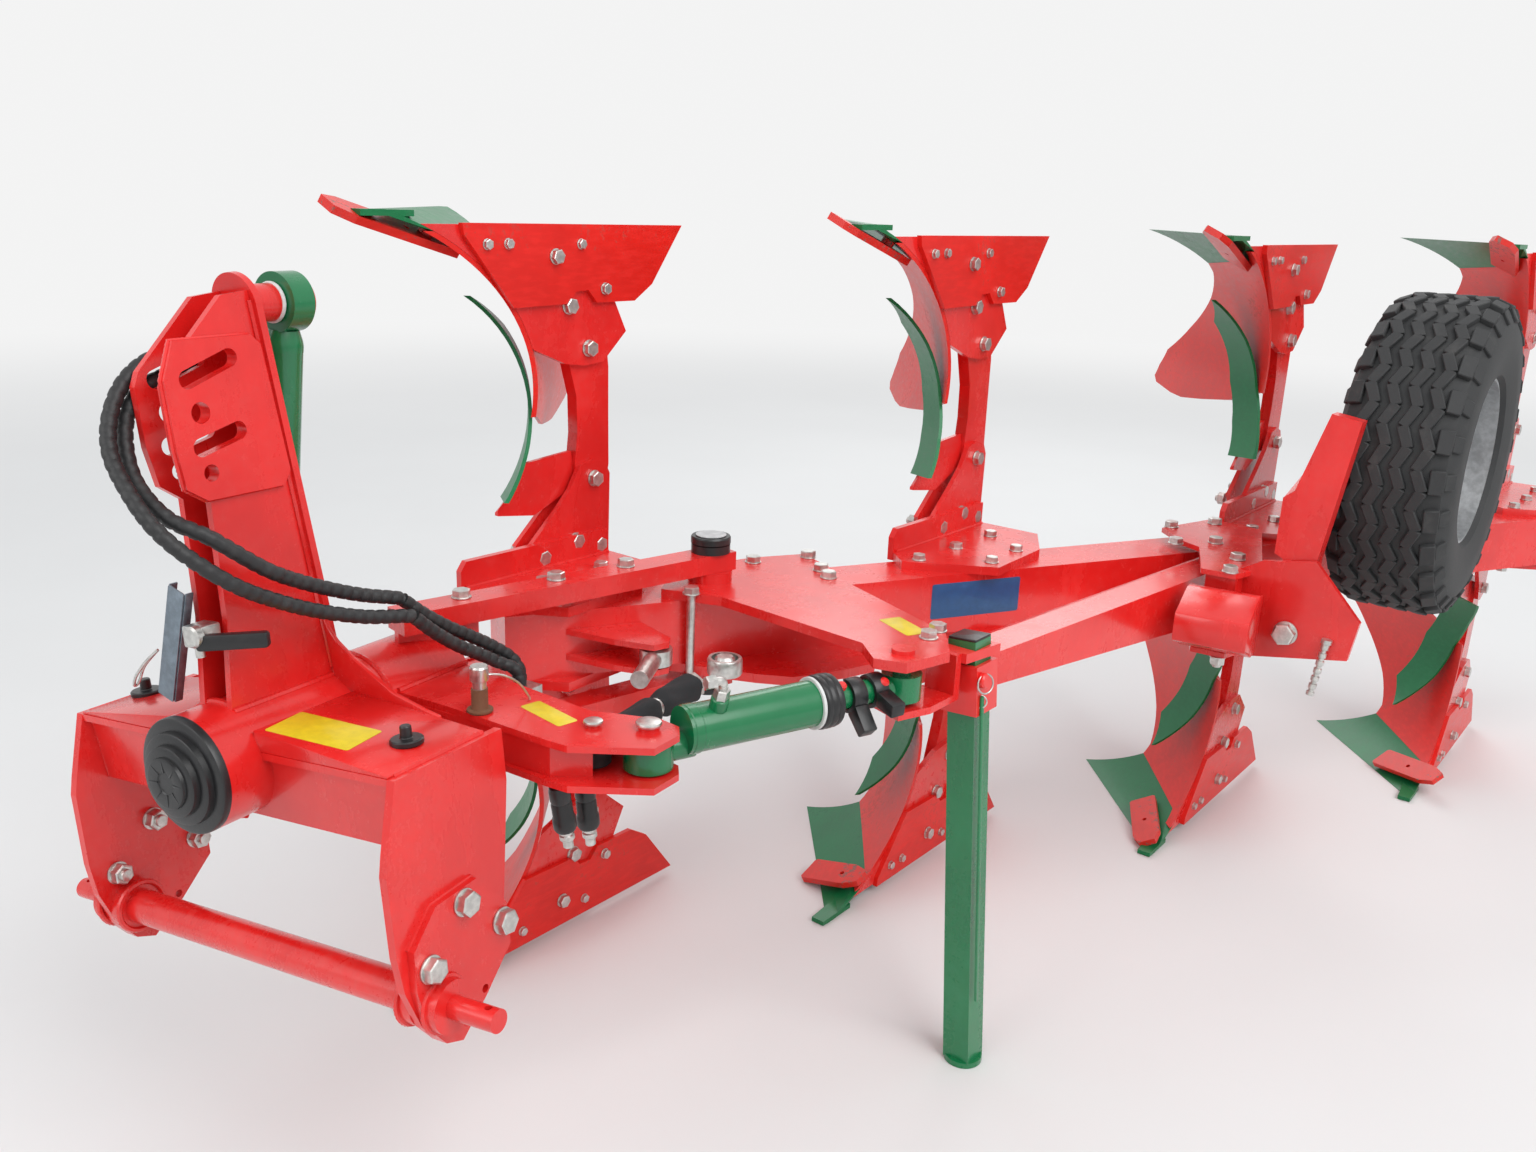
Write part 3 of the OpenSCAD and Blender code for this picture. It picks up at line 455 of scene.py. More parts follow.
def give(piece, body, paint):
    """Hands a finished piece, already in its place, to a body of the machine."""
    piece.data.materials.clear()
    piece.data.materials.append(paint)
    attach(piece, body)
    return piece


def fasten(name, body, rows):
    """rows: pattern, frame, x, y, z, way, thread size in mm"""
    parts = [stood(pattern, place, (x, y, z), way, size, 0.7 * k)
             for k, (pattern, place, x, y, z, way, size) in enumerate(rows)]
    whole = give(join(name, parts), body, ZINC)
    print(name, len(rows), "fasteners")
    return whole


UP, DOWN, LEFT, RIGHT, AHEAD = (0, 0, 1), (0, 0, -1), (0, 1, 0), (0, -1, 0), (1, 0, 0)
PLATE_TOP, JOINT_TOP, BAR_TOP = 90, 102, 152
LANDSIDE_BOLTS = ((561, 778, 12), (508, 779, 12), (312, 778, 12), (242, 684, 14), (383, 753, 18),
                  (337, 650, 20), (280, 557, 20))
BASE_BOLTS = ((660, 79), (505, 86), (337, 86), (553, 211), (416, 201))
FORK_BOLTS = ((262, 265), (420, 110), (320, 130), (250, 110))
FROG_TOP = 655


def body_rows(at_body):
    """Landside bolts, base plate bolts, and the leg's bolts with their nuts, for one plough body."""
    return ([("bolt", at_body, x, 0 if s > FROG_TOP else -12, s, LEFT, size) for x, s, size in LANDSIDE_BOLTS]
            + [("bolt", at_body, x, y, PLATE_TOP, UP, 18) for x, y in BASE_BOLTS]
            + [("bolt", at_body, x, -15, s, LEFT, 20) for x, s in FORK_BOLTS]
            + [("nut", at_body, x, -81, s, RIGHT, 20) for x, s in FORK_BOLTS])


for name, up in (("Upper_Body_Bolts", True), ("Lower_Body_Bolts", False)):
    fasten(name, "beam", [row for i in STATIONS for row in body_rows(furrow(i, up))])
BRACKET_BOLTS = ((220, 861), (171, 851), (33, 486), (0, 441), (-67, 354), (59, 292))
REAR_BOLTS = ((-964, 864), (-1087, 934), (-804, 940), (-885, 1010), (-769, 1106), (-643, 1133))
fasten("Frame_Bolts", "beam", [("bolt", FIELD, x, y, PLATE_TOP, UP, 20) for x, y in BRACKET_BOLTS]
       + [("nut", FIELD, x, y, -PLATE_TOP, DOWN, 20) for x, y in BRACKET_BOLTS[2:]]
       + [("bolt", FIELD, x, y, JOINT_TOP, UP, 20) for x, y in REAR_BOLTS]
       + [("nut", FIELD, x, y, -JOINT_TOP, DOWN, 20) for x, y in REAR_BOLTS]
       + [("bolt", FIELD, -690, 1262, -25, AHEAD, 30)])
HITCH_BOLTS = ((1315, -275), (1233, -205), (1155, -275))
fasten("Headstock_Bolts", "headstock",
       [("bolt", HEAD, x, k * 391, c, (0, k, 0), 24) for k in (1, -1) for x, c in HITCH_BOLTS]
       + [("nut", HEAD, x, k * 361, c, (0, -k, 0), 22) for k in (1, -1) for x, c in HITCH_BOLTS])
BAR_BOLTS = [(903 - 625 * t, 22 + 220 * t) for t in (0.12, 0.43, 0.68)]
fasten("Carriage_Bolts", "carriage", [("bolt", LEVEL, x, y, BAR_TOP, UP, 20) for x, y in BAR_BOLTS]
       + [("nut", LEVEL, x, y, -BAR_TOP, DOWN, 20) for x, y in BAR_BOLTS]
       + [("dome", LEVEL, 924, 537, 47, UP, 20), ("dome", LEVEL, 964, 454, 45, UP, 15)])

# %% [markdown]
# The depth wheel carries an implement tyre: four zigzag ribs round the middle and square lugs on each
# shoulder. The carcass is spun from its section. The links of one zigzag and its lugs are modelled as
# bevelled blocks, and 26 copies of them go round the tread.

# %% Tyre
AXLE = FIELD @ shift(-1150, 1395, 350) @ rotate(90, "X")
SHOULDER = ((197, 110), (205, 122), (255, 132), (318, 130), (352, 112), (366, 84), (370, 40))
CARCASS = [(r, -w) for r, w in SHOULDER] + [(r, w) for r, w in SHOULDER[::-1]]
bench()
section = bpy.data.meshes.new("Tyre_Section")
section.from_pydata([(r, 0, w) for r, w in CARCASS], [(k, k + 1) for k in range(len(CARCASS) - 1)], [])
tyre = bpy.data.objects.new("Depth_Wheel_Tyre", section)
bpy.context.scene.collection.objects.link(tyre)
bpy.context.view_layer.objects.active = tyre
tyre.select_set(True)
bpy.ops.object.mode_set(mode="EDIT")
bpy.ops.mesh.select_all(action="SELECT")
bpy.ops.mesh.spin(steps=96, angle=2 * math.pi, center=(0, 0, 0), axis=(0, 0, 1))
bpy.ops.mesh.select_all(action="SELECT")
bpy.ops.mesh.remove_doubles(threshold=0.05)
bpy.ops.mesh.normals_make_consistent(inside=False)
bpy.ops.object.mode_set(mode="OBJECT")
bpy.ops.object.shade_smooth_by_angle(angle=math.radians(35))


def tread_block(length, width, height, slant, across, radius):
    """A bevelled rubber block on the tread, its long side running round the tyre."""
    bench()
    bpy.ops.mesh.primitive_cube_add(size=1, location=(radius, 0, across), rotation=(slant, 0, 0),
                                    scale=(height, length, width))
    block = bpy.context.object
    bpy.ops.object.transform_apply(location=True, rotation=True, scale=True)
    soften(block, 2.2, 1)
    return block


ZIGZAGS = 26
RIBS = (-66, -22, 22, 66)
SHOULDER_LUGS = ((0.60, 32, 15, 100, 363, 0.38), (0.40, 34, 12, 119, 341, 1.08))
pitch = 2 * math.pi * 372 / ZIGZAGS
links = []
for across in RIBS:
    for half, slant in ((0, 0.42), (1, -0.42)):
        link = tread_block(pitch / 2 * 1.16, 24, 15, slant, across, 372.5)
        link.data.transform(Matrix.Rotation(half * math.pi / ZIGZAGS, 4, "Z"))
        links.append(link)
for side in (-1, 1):
    for length, width, height, across, radius, tip in SHOULDER_LUGS:
        lug = tread_block(pitch * length, width, height, 0, side * across, radius)
        here = shift(radius, 0, side * across)
        lug.data.transform(here @ Matrix.Rotation(-side * tip, 4, "Y") @ here.inverted())
        links.append(lug)
zigzag = join("Tread_Zigzag", links)
ring = []
for k in range(ZIGZAGS):
    copy = zigzag.copy()
    copy.data = zigzag.data.copy()
    bpy.context.scene.collection.objects.link(copy)
    copy.data.transform(Matrix.Rotation(2 * math.pi * k / ZIGZAGS, 4, "Z"))
    ring.append(copy)
bpy.data.objects.remove(zigzag)
tyre = join("Depth_Wheel_Tyre", [tyre] + ring)
tyre.data.transform(AXLE)
give(tyre, "wheel", TYRE)
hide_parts("wheel_tyre")
print("tyre faces", len(tyre.data.polygons))

# %% [markdown]
# The hydraulic hoses wear a spiral guard: a flat plastic strip wound round the rubber. Their routes are
# those of the CAD hoses. A round tube is swept along a smooth curve, and then its skin is moved in and
# out along a screw line, as a sculptor would, so that the strip's edges wind along the hose.

# %% Wrapped hoses
ROUTES = {
    "Front_Hoses": ("headstock", "front_hoses", (
        ((1195, -99.1, 628), (1198.6, -114, 626.5), (1230, -122, 627), (1300, -118, 618),
         (1352, -112, 588), (1386, -102, 542), (1407, -78, 495), (1416, -36, 450), (1415, 12, 403),
         (1394, 54, 360), (1340, 84, 308), (1271, 92, 267), (1205, 102, 236), (1130, 120, 210),
         (1062, 136, 196), (1044.5, 139.5, 191.5)),
        ((1192, -95.9, 596), (1195.5, -111, 594.5), (1226, -119, 596), (1296, -114, 588),
         (1343, -108, 560), (1368, -98, 512), (1385, -60, 454), (1385, 4, 408), (1352, 54, 378),
         (1283, 80, 320), (1223, 84, 286), (1162, 92, 258), (1110, 101, 238), (1062, 112, 224),
         (1044.5, 115.5, 218)))),
    "Rear_Hoses": ("carriage", "rear_hoses", (
        ((1042, 140, 190), (1000, 144, 152), (950, 150, 114), (905, 158, 86), (868, 168, 62),
         (844, 184, 46), (838, 192, 26), (838, 192, 6.9)),
        ((1042, 116, 216), (1000, 122, 180), (950, 130, 144), (905, 140, 116), (860, 150, 86),
         (826, 164, 56), (818, 176, 30), (818, 176, 6.9)))),
}


def smooth_route(route, spacing):
    """Points evenly spaced on a smooth curve through the route's own."""
    points = [Vector(p) for p in route]
    fine = []
    for i in range(len(points) - 1):
        p, q, r, s = (points[max(i - 1, 0)], points[i], points[i + 1], points[min(i + 2, len(points) - 1)])
        for t in (k / 16 for k in range(16)):
            bend = 2 * p - 5 * q + 4 * r - s + t * (3 * q - 3 * r + s - p)
            fine.append(q + 0.5 * t * (r - p + t * bend))
    fine.append(points[-1])
    even, walked = [fine[0]], 0.0
    for a, b in zip(fine, fine[1:]):
        walked += (b - a).length
        if walked >= spacing:
            even.append(b)
            walked = 0.0
    return even + [points[-1]]


def swept(name, points, skin, sides):
    """A tube along the points. skin gives the radius from the distance along and the turn round it."""
    verts, faces, along, normal = [], [], 0.0, None
    for i, point in enumerate(points):
        way = (points[min(i + 1, len(points) - 1)] - points[max(i - 1, 0)]).normalized()
        normal = way.cross(Vector((0.3, 0.2, 1))).normalized() if normal is None else (
            normal - way * normal.dot(way)).normalized()
        side = way.cross(normal)
        for k in range(sides):
            turn = 2 * math.pi * k / sides
            verts.append(point + skin(along, turn) * (math.cos(turn) * normal + math.sin(turn) * side))
        if i + 1 < len(points):
            along += (points[i + 1] - point).length
            faces += [(i * sides + k, i * sides + (k + 1) % sides, (i + 1) * sides + (k + 1) % sides,
                       (i + 1) * sides + k) for k in range(sides)]
    faces += [tuple(range(sides))[::-1], tuple(range((len(points) - 1) * sides, len(points) * sides))]
    mesh = bpy.data.meshes.new(name)
    mesh.from_pydata(verts, [], faces)
    piece = bpy.data.objects.new(name, mesh)
    bpy.context.scene.collection.objects.link(piece)
    bench()
    piece.select_set(True)
    bpy.context.view_layer.objects.active = piece
    bpy.ops.object.shade_smooth_by_angle(angle=math.radians(50))
    return piece, along


def wrap(along, turn):
    phase = (along / 19.0 + turn / (2 * math.pi)) % 1.0
    edge = min(phase, 1 - phase)
    return 9.3 + 2.7 * min(1.0, edge / 0.2) ** 0.7


for name, (body, node, routes) in ROUTES.items():
    tubes = [swept(name, smooth_route(route, 2.4), wrap, 16) for route in routes]
    hose = join(name, [tube for tube, length in tubes])
    hose.data.transform(LEVEL)
    give(hose, body, HOSE)
    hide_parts(node)
    print(name, [round(length) for tube, length in tubes], "mm,", len(hose.data.polygons), "faces")

# %% [markdown]
# Many small parts are turned or cut from plate. A turned part is spun from half of its section, and a
# plate part is a face with the real outline that is extruded to its thickness. Both get broken edges,
# because a machine part with knife-sharp edges looks like paper.

# %% Turned parts and cut plates


def sketch(name, verts, edges, faces):
    """A new mesh in edit mode with everything selected."""
    bench()
    mesh = bpy.data.meshes.new(name)
    mesh.from_pydata(verts, edges, faces)
    piece = bpy.data.objects.new(name, mesh)
    bpy.context.scene.collection.objects.link(piece)
    bpy.context.view_layer.objects.active = piece
    piece.select_set(True)
    bpy.ops.object.mode_set(mode="EDIT")
    bpy.ops.mesh.select_all(action="SELECT")
    return piece


def turned(section, place=Matrix.Identity(4), steps=48):
    """A solid of revolution from (radius, height) points, which start and end on the axis."""
    links = [(k, k + 1) for k in range(len(section) - 1)]
    piece = sketch("Turned", [(r, 0, h) for r, h in section], links, [])
    bpy.ops.mesh.spin(steps=steps, angle=2 * math.pi, center=(0, 0, 0), axis=(0, 0, 1))
    bpy.ops.mesh.select_all(action="SELECT")
    bpy.ops.mesh.remove_doubles(threshold=0.02)
    bpy.ops.mesh.normals_make_consistent(inside=False)
    bpy.ops.object.mode_set(mode="OBJECT")
    bpy.ops.object.shade_smooth_by_angle(angle=math.radians(32))
    piece.data.transform(place)
    return piece


def cut_plate(outline, thickness, place=Matrix.Identity(4), edge=0.8):
    """A plate on z = 0 with the given outline and broken edges."""
    piece = sketch("Plate", [(x, y, 0) for x, y in outline], [], [tuple(range(len(outline)))])
    bpy.ops.mesh.extrude_region_move(TRANSFORM_OT_translate={"value": (0, 0, thickness)})
    bpy.ops.mesh.select_all(action="SELECT")
    bpy.ops.mesh.normals_make_consistent(inside=False)
    bpy.ops.object.mode_set(mode="OBJECT")
    soften(piece, edge)
    piece.data.transform(place)
    return piece


def rounded(width, height, corner, steps=4):
    """The outline of a rectangle about the origin with round corners."""
    across, up = width / 2 - corner, height / 2 - corner
    return [(sx * across + corner * math.cos(t), sy * up + corner * math.sin(t))
            for q, (sx, sy) in enumerate(((1, 1), (-1, 1), (-1, -1), (1, -1)))
            for t in (math.pi / 2 * (q + k / steps) for k in range(steps + 1))]


def facing(at, way, degrees=0.0):
    """Stands a part's z axis along way at a point of its frame."""
    return shift(*at) @ Vector(way).to_track_quat("Z", "Y").to_matrix().to_4x4() @ rotate(degrees, "Z")


def wire_path(name, corners, radius, place, spacing=3.0, sides=10):
    """Bent round wire through the points."""
    piece, length = swept(name, smooth_route(corners, spacing), lambda along, turn: radius, sides)
    piece.data.transform(place)
    return piece


print("rounded plate corner points:", len(rounded(60, 40, 6)))

# %% [markdown]
# The turning bearing is closed by a black plastic cap, stepped like a stack of plates. In the CAD it is
# plain cylinders. Here it is turned from a section whose steps have small radii, so that each one picks
# up a line of light, and shallow ribs run out from the middle.

# %% Bearing cap
CAP_SEAT = 1386
CAP_STEPS = ((0, 41.5), (17, 41.5), (19, 43), (38, 44.6), (41, 43.6), (42.2, 38.5), (54, 37.8), (57, 36.3),
             (58.2, 26.8), (71.5, 26), (74.3, 24.4), (75.4, 14.8), (90, 14), (93.6, 12.2), (95, 8.5),
             (95, 0), (0, 0))
CAP_RIB = ((18, -1.6), (38, -1.1), (38, 1.1), (18, 1.6))
cap = turned(CAP_STEPS, steps=96)
ribs = [cut_plate(CAP_RIB, 2.2, rotate(45 * k, "Z") @ shift(0, 0, 41) @ Matrix.Rotation(-0.045, 4, "Y"), 0.5)
        for k in range(8)]
cap = join("Turning_Bearing_Cap", [cap] + ribs)
cap.data.transform(HEAD @ facing((CAP_SEAT, 0, 0), AHEAD))
give(cap, "headstock", BLACK_CAP)
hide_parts("bearing_cap")
print("cap faces", len(cap.data.polygons))

# %% [markdown]
# A welded machine shows its seams. Each fillet weld is a rippled bead where two plates meet, painted
# over with them. One tool sweeps a bead with the ripple of the welding bath along corner points, and
# the seams are written in tables, plate by plate.

# %% Weld seams


def seam(place, radius, corners, closed=False):
    """A weld bead along the corner points."""
    corners = [Vector(c) for c in corners] + ([Vector(corners[0])] if closed else [])
    path = [corners[0]]
    for a, b in zip(corners, corners[1:]):
        steps = max(2, round((b - a).length / 3.2))
        path += [a.lerp(b, k / steps) for k in range(1, steps + 1)]
    bead, length = swept("Seam", path, lambda along, turn: radius * (1 + 0.13 * math.sin(along * 0.85)), 6)
    bead.data.transform(place)
    return bead


def circle(at, radius, axis, steps=40, start=0.0, end=2 * math.pi):
    """Points of an arc about at, in the plane square to the axis."""
    spin = Vector(axis).to_track_quat("Z", "Y").to_matrix()
    return [Vector(at) + spin @ Vector((radius * math.cos(t), radius * math.sin(t), 0))
            for t in (start + (end - start) * k / steps for k in range(steps + 1))]


BODY_BEADS = ((4, 216, 430, -70, 91), (4, 216, 430, -26, 91), (4, 232, 640, 1, 91), (3.5, 225, 645, 1, 69))
seams = []
for i in STATIONS:
    for up in (True, False):
        at_body = furrow(i, up)
        seams += [seam(at_body, radius, ((start, y, z), (end, y, z))) for radius, start, end, y, z in BODY_BEADS]
give(join("Body_Seams", seams), "beam", RED)
PAD_LINE = ((1315, 418), (1348, 440), (1355, 500), (1358, 600), (1335, 655), (1200, 655), (1184, 640),
            (1160, 440), (1175, 418))
DOUBLER_LINE = ((1342, -235), (1290, -185), (1200, -180), (1140, -250), (1140, -322))
CROSS_SHAFT = (1297, -343)
seams = [seam(HEAD, 3.5, [(a, 39.5, c) for a, c in PAD_LINE], True)]
for side in (1, -1):
    seams += [seam(HEAD, 5, ((1124, 40 * side, 86), (1322, 40 * side, 86))),
              seam(HEAD, 5, ((1123, 39 * side, 100), (1186, 39 * side, 706))),
              seam(HEAD, 5, ((1122, 92 * side, 29), (1322, 92 * side, 29))),
              seam(HEAD, 5, ((1308, 359 * side, 15), (1296, 359 * side, -97))),
              seam(HEAD, 4, ((1122, 360 * side, 28), (1312, 360 * side, 28))),
              seam(HEAD, 5, circle((CROSS_SHAFT[0], 392 * side, CROSS_SHAFT[1]), 43, LEFT), True),
              seam(HEAD, 5, circle((CROSS_SHAFT[0], 336 * side, CROSS_SHAFT[1]), 43, LEFT), True),
              seam(HEAD, 3.5, [(a, 377 * side, c) for a, c in DOUBLER_LINE])]
seams.append(seam(HEAD, 5, circle((1317, 0, 0), 96, AHEAD, 40, math.pi * 0.42, math.pi * 1.58)))
give(join("Headstock_Seams", seams), "headstock", RED)
seams = [seam(LEVEL, 5, ((864, b, c), (1034, b, c))) for b, c in ((88, 43), (-88, 43), (88, -43))]
seams.append(seam(LEVEL, 5, circle((1047, 0, 0), 95.5, AHEAD), True))
give(join("Carriage_Seams", seams), "carriage", RED)
print("weld seams laid")

# %% [markdown]
# At the foot of the mast its rear plate spreads into two wings that stand on the box, and the top of
# the box falls a little to each side, like a roof. A grey steel bar hangs in front of the right mast
# plate, held by a latch with a black grip. A hairpin hangs beside it, and two rubber stops sit on the box.

# %% Mast foot, latch and stops
BOX_TOP = 27
WING = ((48, 190), (52, 172), (66, 150), (97, 122), (174, 69), (240, 48), (268, 40), (268, BOX_TOP),
        (44, BOX_TOP), (44, 190))
MAST_LEAN = rotate(5.9, "Y")
wings = []
for side in (1, -1):
    wing = cut_plate([(-c, side * b) for b, c in WING], 8, edge=1.0)
    wing.data.transform(HEAD @ shift(1109, 0, 0) @ MAST_LEAN @ rotate(90, "Y"))
    wings += [wing, seam(HEAD, 5, ((1122, 50 * side, 30), (1122, 262 * side, 30)))]
give(join("Mast_Foot_Wings", wings), "headstock", RED)
ROOF = ((361, BOX_TOP), (361, 31), (80, 61), (80, BOX_TOP))
SECTION_ON_END = Matrix(((0, 0, 1, 0), (1, 0, 0, 0), (0, 1, 0, 0), (0, 0, 0, 1)))
roof = [cut_plate([(side * b, c) for b, c in ROOF], 203, HEAD @ shift(1121, 0, 0) @ SECTION_ON_END, 1.5)
        for side in (1, -1)]
give(join("Box_Roof", roof), "headstock", RED)

HANG = HEAD @ shift(1340, -60, 190) @ rotate(-21, "X")
bar = [cut_plate(rounded(36, 196, 3), 3, HANG @ facing((0, 0, 0), AHEAD)),
       cut_plate(rounded(14, 196, 1), 3, HANG @ facing((-7, 17, 0), LEFT)),
       cut_plate(rounded(14, 196, 1), 3, HANG @ facing((-7, -20, 0), LEFT))]
give(join("Hanging_Bar", bar), "headstock", GREY_STEEL)
LATCH = HEAD @ shift(1340, 12, 212)
latch = [cut_plate(rounded(38, 34, 4), 40, LATCH @ facing((-24, 0, 0), AHEAD), 2),
         turned(((0, 0), (15, 0), (17, 2), (17, 12), (14, 15), (0, 15)), LATCH @ facing((16, 20, 6), AHEAD)),
         turned(((0, 0), (7, 0), (7, 44), (5, 46), (0, 46)), LATCH @ facing((4, 0, -34), UP))]
give(join("Latch_Block", latch), "headstock", ZINC)
grip = [cut_plate(rounded(108, 25, 6), 17, LATCH @ facing((-14, 62, -4), (0.84, 0.54, 0.0)), 3.5)]
give(join("Latch_Grip", grip), "headstock", BLACK_CAP)
STOP = ((0, 0), (24, 0), (26, 2), (26, 8), (24, 10), (11, 10.5), (9.5, 12), (9, 28), (7.5, 30), (0, 30))
stops = [turned(STOP, HEAD @ facing(at, UP)) for at in ((1222, 300, 36), (1222, -330, 33))]
give(join("Rubber_Stops", stops), "headstock", BLACK_CAP)
HAIRPIN = ((1344, -92, 178), (1350, -118, 158), (1352, -146, 132), (1346, -166, 112), (1338, -172, 108),
           (1340, -158, 120), (1346, -130, 148), (1342, -100, 174))
give(join("Hairpin", [wire_path("Clip", HAIRPIN, 2.4, HEAD)]), "headstock", ZINC)
print("mast foot and latch done")

# %% [markdown]
# Where the makers put their stickers, the copy gets blank films of the same size and colour: yellow on
# the box, the arm and the bracket, and dark blue on the beam. They are thin plates with round corners.

# %% Blank films


def film(name, body, paint, place, at, way, width, height, degrees):
    sheet = cut_plate(rounded(width, height, 5), 0.5, place @ facing(at, way, degrees), 0.1)
    give(sheet, body, paint).name = name


BEAM = FIELD @ shift(227.01, 309.61, 0) @ rotate(152.5, "Z")
film("Box_Film", "headstock", YELLOW, HEAD, (1263, 166, 51.9), (0, 0.1063, 1), 160, 82, 97)
film("Arm_Film", "carriage", YELLOW, LEVEL, (965, 362, 41.1), UP, 112, 40, 74)
film("Bracket_Film", "beam", YELLOW, FIELD, (196, 788, PLATE_TOP + 0.1), UP, 104, 50, 66)
film("Beam_Film", "beam", BLUE, BEAM, (640, -70.1, 9), RIGHT, 240, 84, 0)
print("four blank films")

# %% [markdown]
# The width cylinder has a screwed gland, a pack of black rubber rings held by a white clip, a hydraulic
# port with a zinc elbow, and loose black spacers that hang on its rod by red plugs. The turnover
# cylinder is slimmer, with a screwed gland, and a white washer on its hanging pin.

# %% Cylinder fittings
SWING = FIELD @ shift(819.75, 699.79, 26) @ rotate(161.12, "Z")
COLLAR = ((0, -8), (41, -8), (43.5, -5.5), (43.5, 9), (42, 10.5), (0, 10.5))
PORT_WAY = (0, -0.35, 1)
port = turned(((0, 0), (16, 0), (16, 20), (14, 22), (0, 22)), SWING @ facing((122, -16, 36), PORT_WAY))
give(join("Width_Cylinder_Collar", [turned(COLLAR, SWING @ facing((75, 0, 0), AHEAD)), port]),
     "width_cylinder_barrel", GREEN)
RINGS = ((0, 0), (45, 0), (49, 3), (50, 8), (48.5, 12), (50, 16), (50, 22), (48, 26), (49.5, 31), (48, 37),
         (43, 41), (0, 41))
give(turned(RINGS, SWING @ facing((328, 0, 0), AHEAD)), "width_cylinder_barrel", BLACK_CAP).name = "Rubber_Ring_Pack"
CLIP = ((42, 0), (47, 0), (48, 1), (48, 5), (47, 6), (42, 6))
give(turned(CLIP, SWING @ facing((321, 0, 0), AHEAD)), "width_cylinder_barrel", WHITE).name = "White_Clip"
elbow = join("Port_Elbow", [hexagon(24, 18), turned(((0, 18), (8, 18), (8, 26), (0, 26)))])
elbow.data.transform(SWING @ facing((122, -23.5, 57), PORT_WAY))
ELBOW_BEND = ((122, -30, 78), (121, -32, 87), (113, -33, 91), (98, -34, 92))
bend = wire_path("Bend", ELBOW_BEND, 7.5, SWING, 3, 14)
nut = hexagon(21, 16)
nut.data.transform(SWING @ facing((104, -34, 92), (-1, 0, 0)))
give(join("Port_Elbow", [elbow, bend, nut]), "width_cylinder_barrel", ZINC)


def arc(radius, start, end):
    """Points on an arc about the origin, from one angle in degrees to another."""
    return [(radius * math.cos(t), radius * math.sin(t))
            for t in (math.radians(start + (end - start) * k / 20) for k in range(21))]


def spacer(along, turn, tilt):
    """A half ring of black rubber that clips on the rod, with its grip lobe standing out."""
    ring = cut_plate(arc(32, -65, 245) + arc(23.5, 245, -65), 30, edge=1.5)
    lobe = cut_plate(((-16, 28), (16, 28), (13, 78), (-13, 78)), 30, edge=3)
    body = join("Spacer", [ring, lobe])
    body.data.transform(SWING @ shift(along, 0, 0) @ Matrix.Rotation(turn, 4, "X")
                        @ Matrix.Rotation(tilt, 4, "Z") @ facing((0, 0, 0), AHEAD))
    return body


give(join("Rod_Spacers", [spacer(398, 2.35, 0.0), spacer(447, 1.75, 0.06)]), "width_cylinder_rod", BLACK_CAP)
plugs = [turned(((0, 0), (7, 0), (9, 2), (9, 9), (6, 12), (0, 12)), SWING @ facing((x, y, z), (0, y, z)))
         for x, y, z in ((380, -10, 22), (436, 20, 11), (470, -16, 17))]
give(join("Red_Plugs", plugs), "width_cylinder_rod", RED)

TURN_PIN = HEAD @ shift(1088, 0, 700)
TILT = math.atan2(-142.75 + 67.1, 696.8 - 129.9)
TURN = LEVEL @ shift(1088, -67.09, 696.78) @ Matrix.Rotation(TILT, 4, "X") @ UPSIDE_DOWN
gland = turned(((0, 410), (31.5, 410), (33.5, 412), (33.5, 436), (32, 438), (19, 439), (0, 439)), TURN)
knuckle = turned(((0, 44), (24, 44), (26, 50), (30, 62), (31.5, 70), (31.5, 80), (0, 80)), TURN)
give(join("Turnover_Cylinder_Collars", [gland, knuckle]), "turnover_cylinder_barrel", GREEN)
bush = turned(((0, 0), (31, 0), (33, 2), (33, 5), (31, 7), (0, 7)), TURN_PIN @ facing((22.5, 0, 0), AHEAD))
give(bush, "headstock", WHITE).name = "Hanging_Pin_Washer"
print("cylinder fittings done, tilt", round(math.degrees(TILT), 2))

# %% [markdown]
# The pivot of the beam is closed by a black cap with a grey disc, and a cross bolt with its nut locks
# the pin. The link to the arm is a rod end with a ball joint, and its hose runs in a woven sleeve that
# is gathered by a strap, so its section swells and folds along its length.

# %% Pivot cap, rod end and woven sleeve
cap = turned(((0, 0), (40, 0), (43, 3), (43, 15), (41, 18), (0, 18)), LEVEL @ shift(275, 250, 170))
give(cap, "carriage", BLACK_CAP).name = "Pivot_Cap"
disc = turned(((0, 0), (30, 0), (33, 1.5), (33, 3), (0, 3)), LEVEL @ shift(275, 250, 187.5))
give(disc, "carriage", RIM_PAINT).name = "Pivot_Disc"
fasten("Pivot_Lock", "carriage", [("bolt", LEVEL, 256, 211, BAR_TOP, UP, 20),
                                  ("nut", LEVEL, 256, 211, -BAR_TOP, DOWN, 20)])

LINK_TURN = math.atan2(-23.6, -458.7)
LINK_LENGTH = 459.3
LINK = LEVEL @ shift(964, 454, 0) @ Matrix.Rotation(LINK_TURN, 4, "Z")


def woven(along, turn):
    tied = 1 - 0.42 * math.exp(-((along - 178) / 16) ** 2) - 0.25 * math.exp(-((along - 10) / 20) ** 2)
    folds = 1.6 * math.sin(3 * turn + along * 0.031) + 1.1 * math.sin(5 * turn - along * 0.055 + 1.3)
    return (26 + folds + 2.2 * math.sin(along * 0.045)) * tied


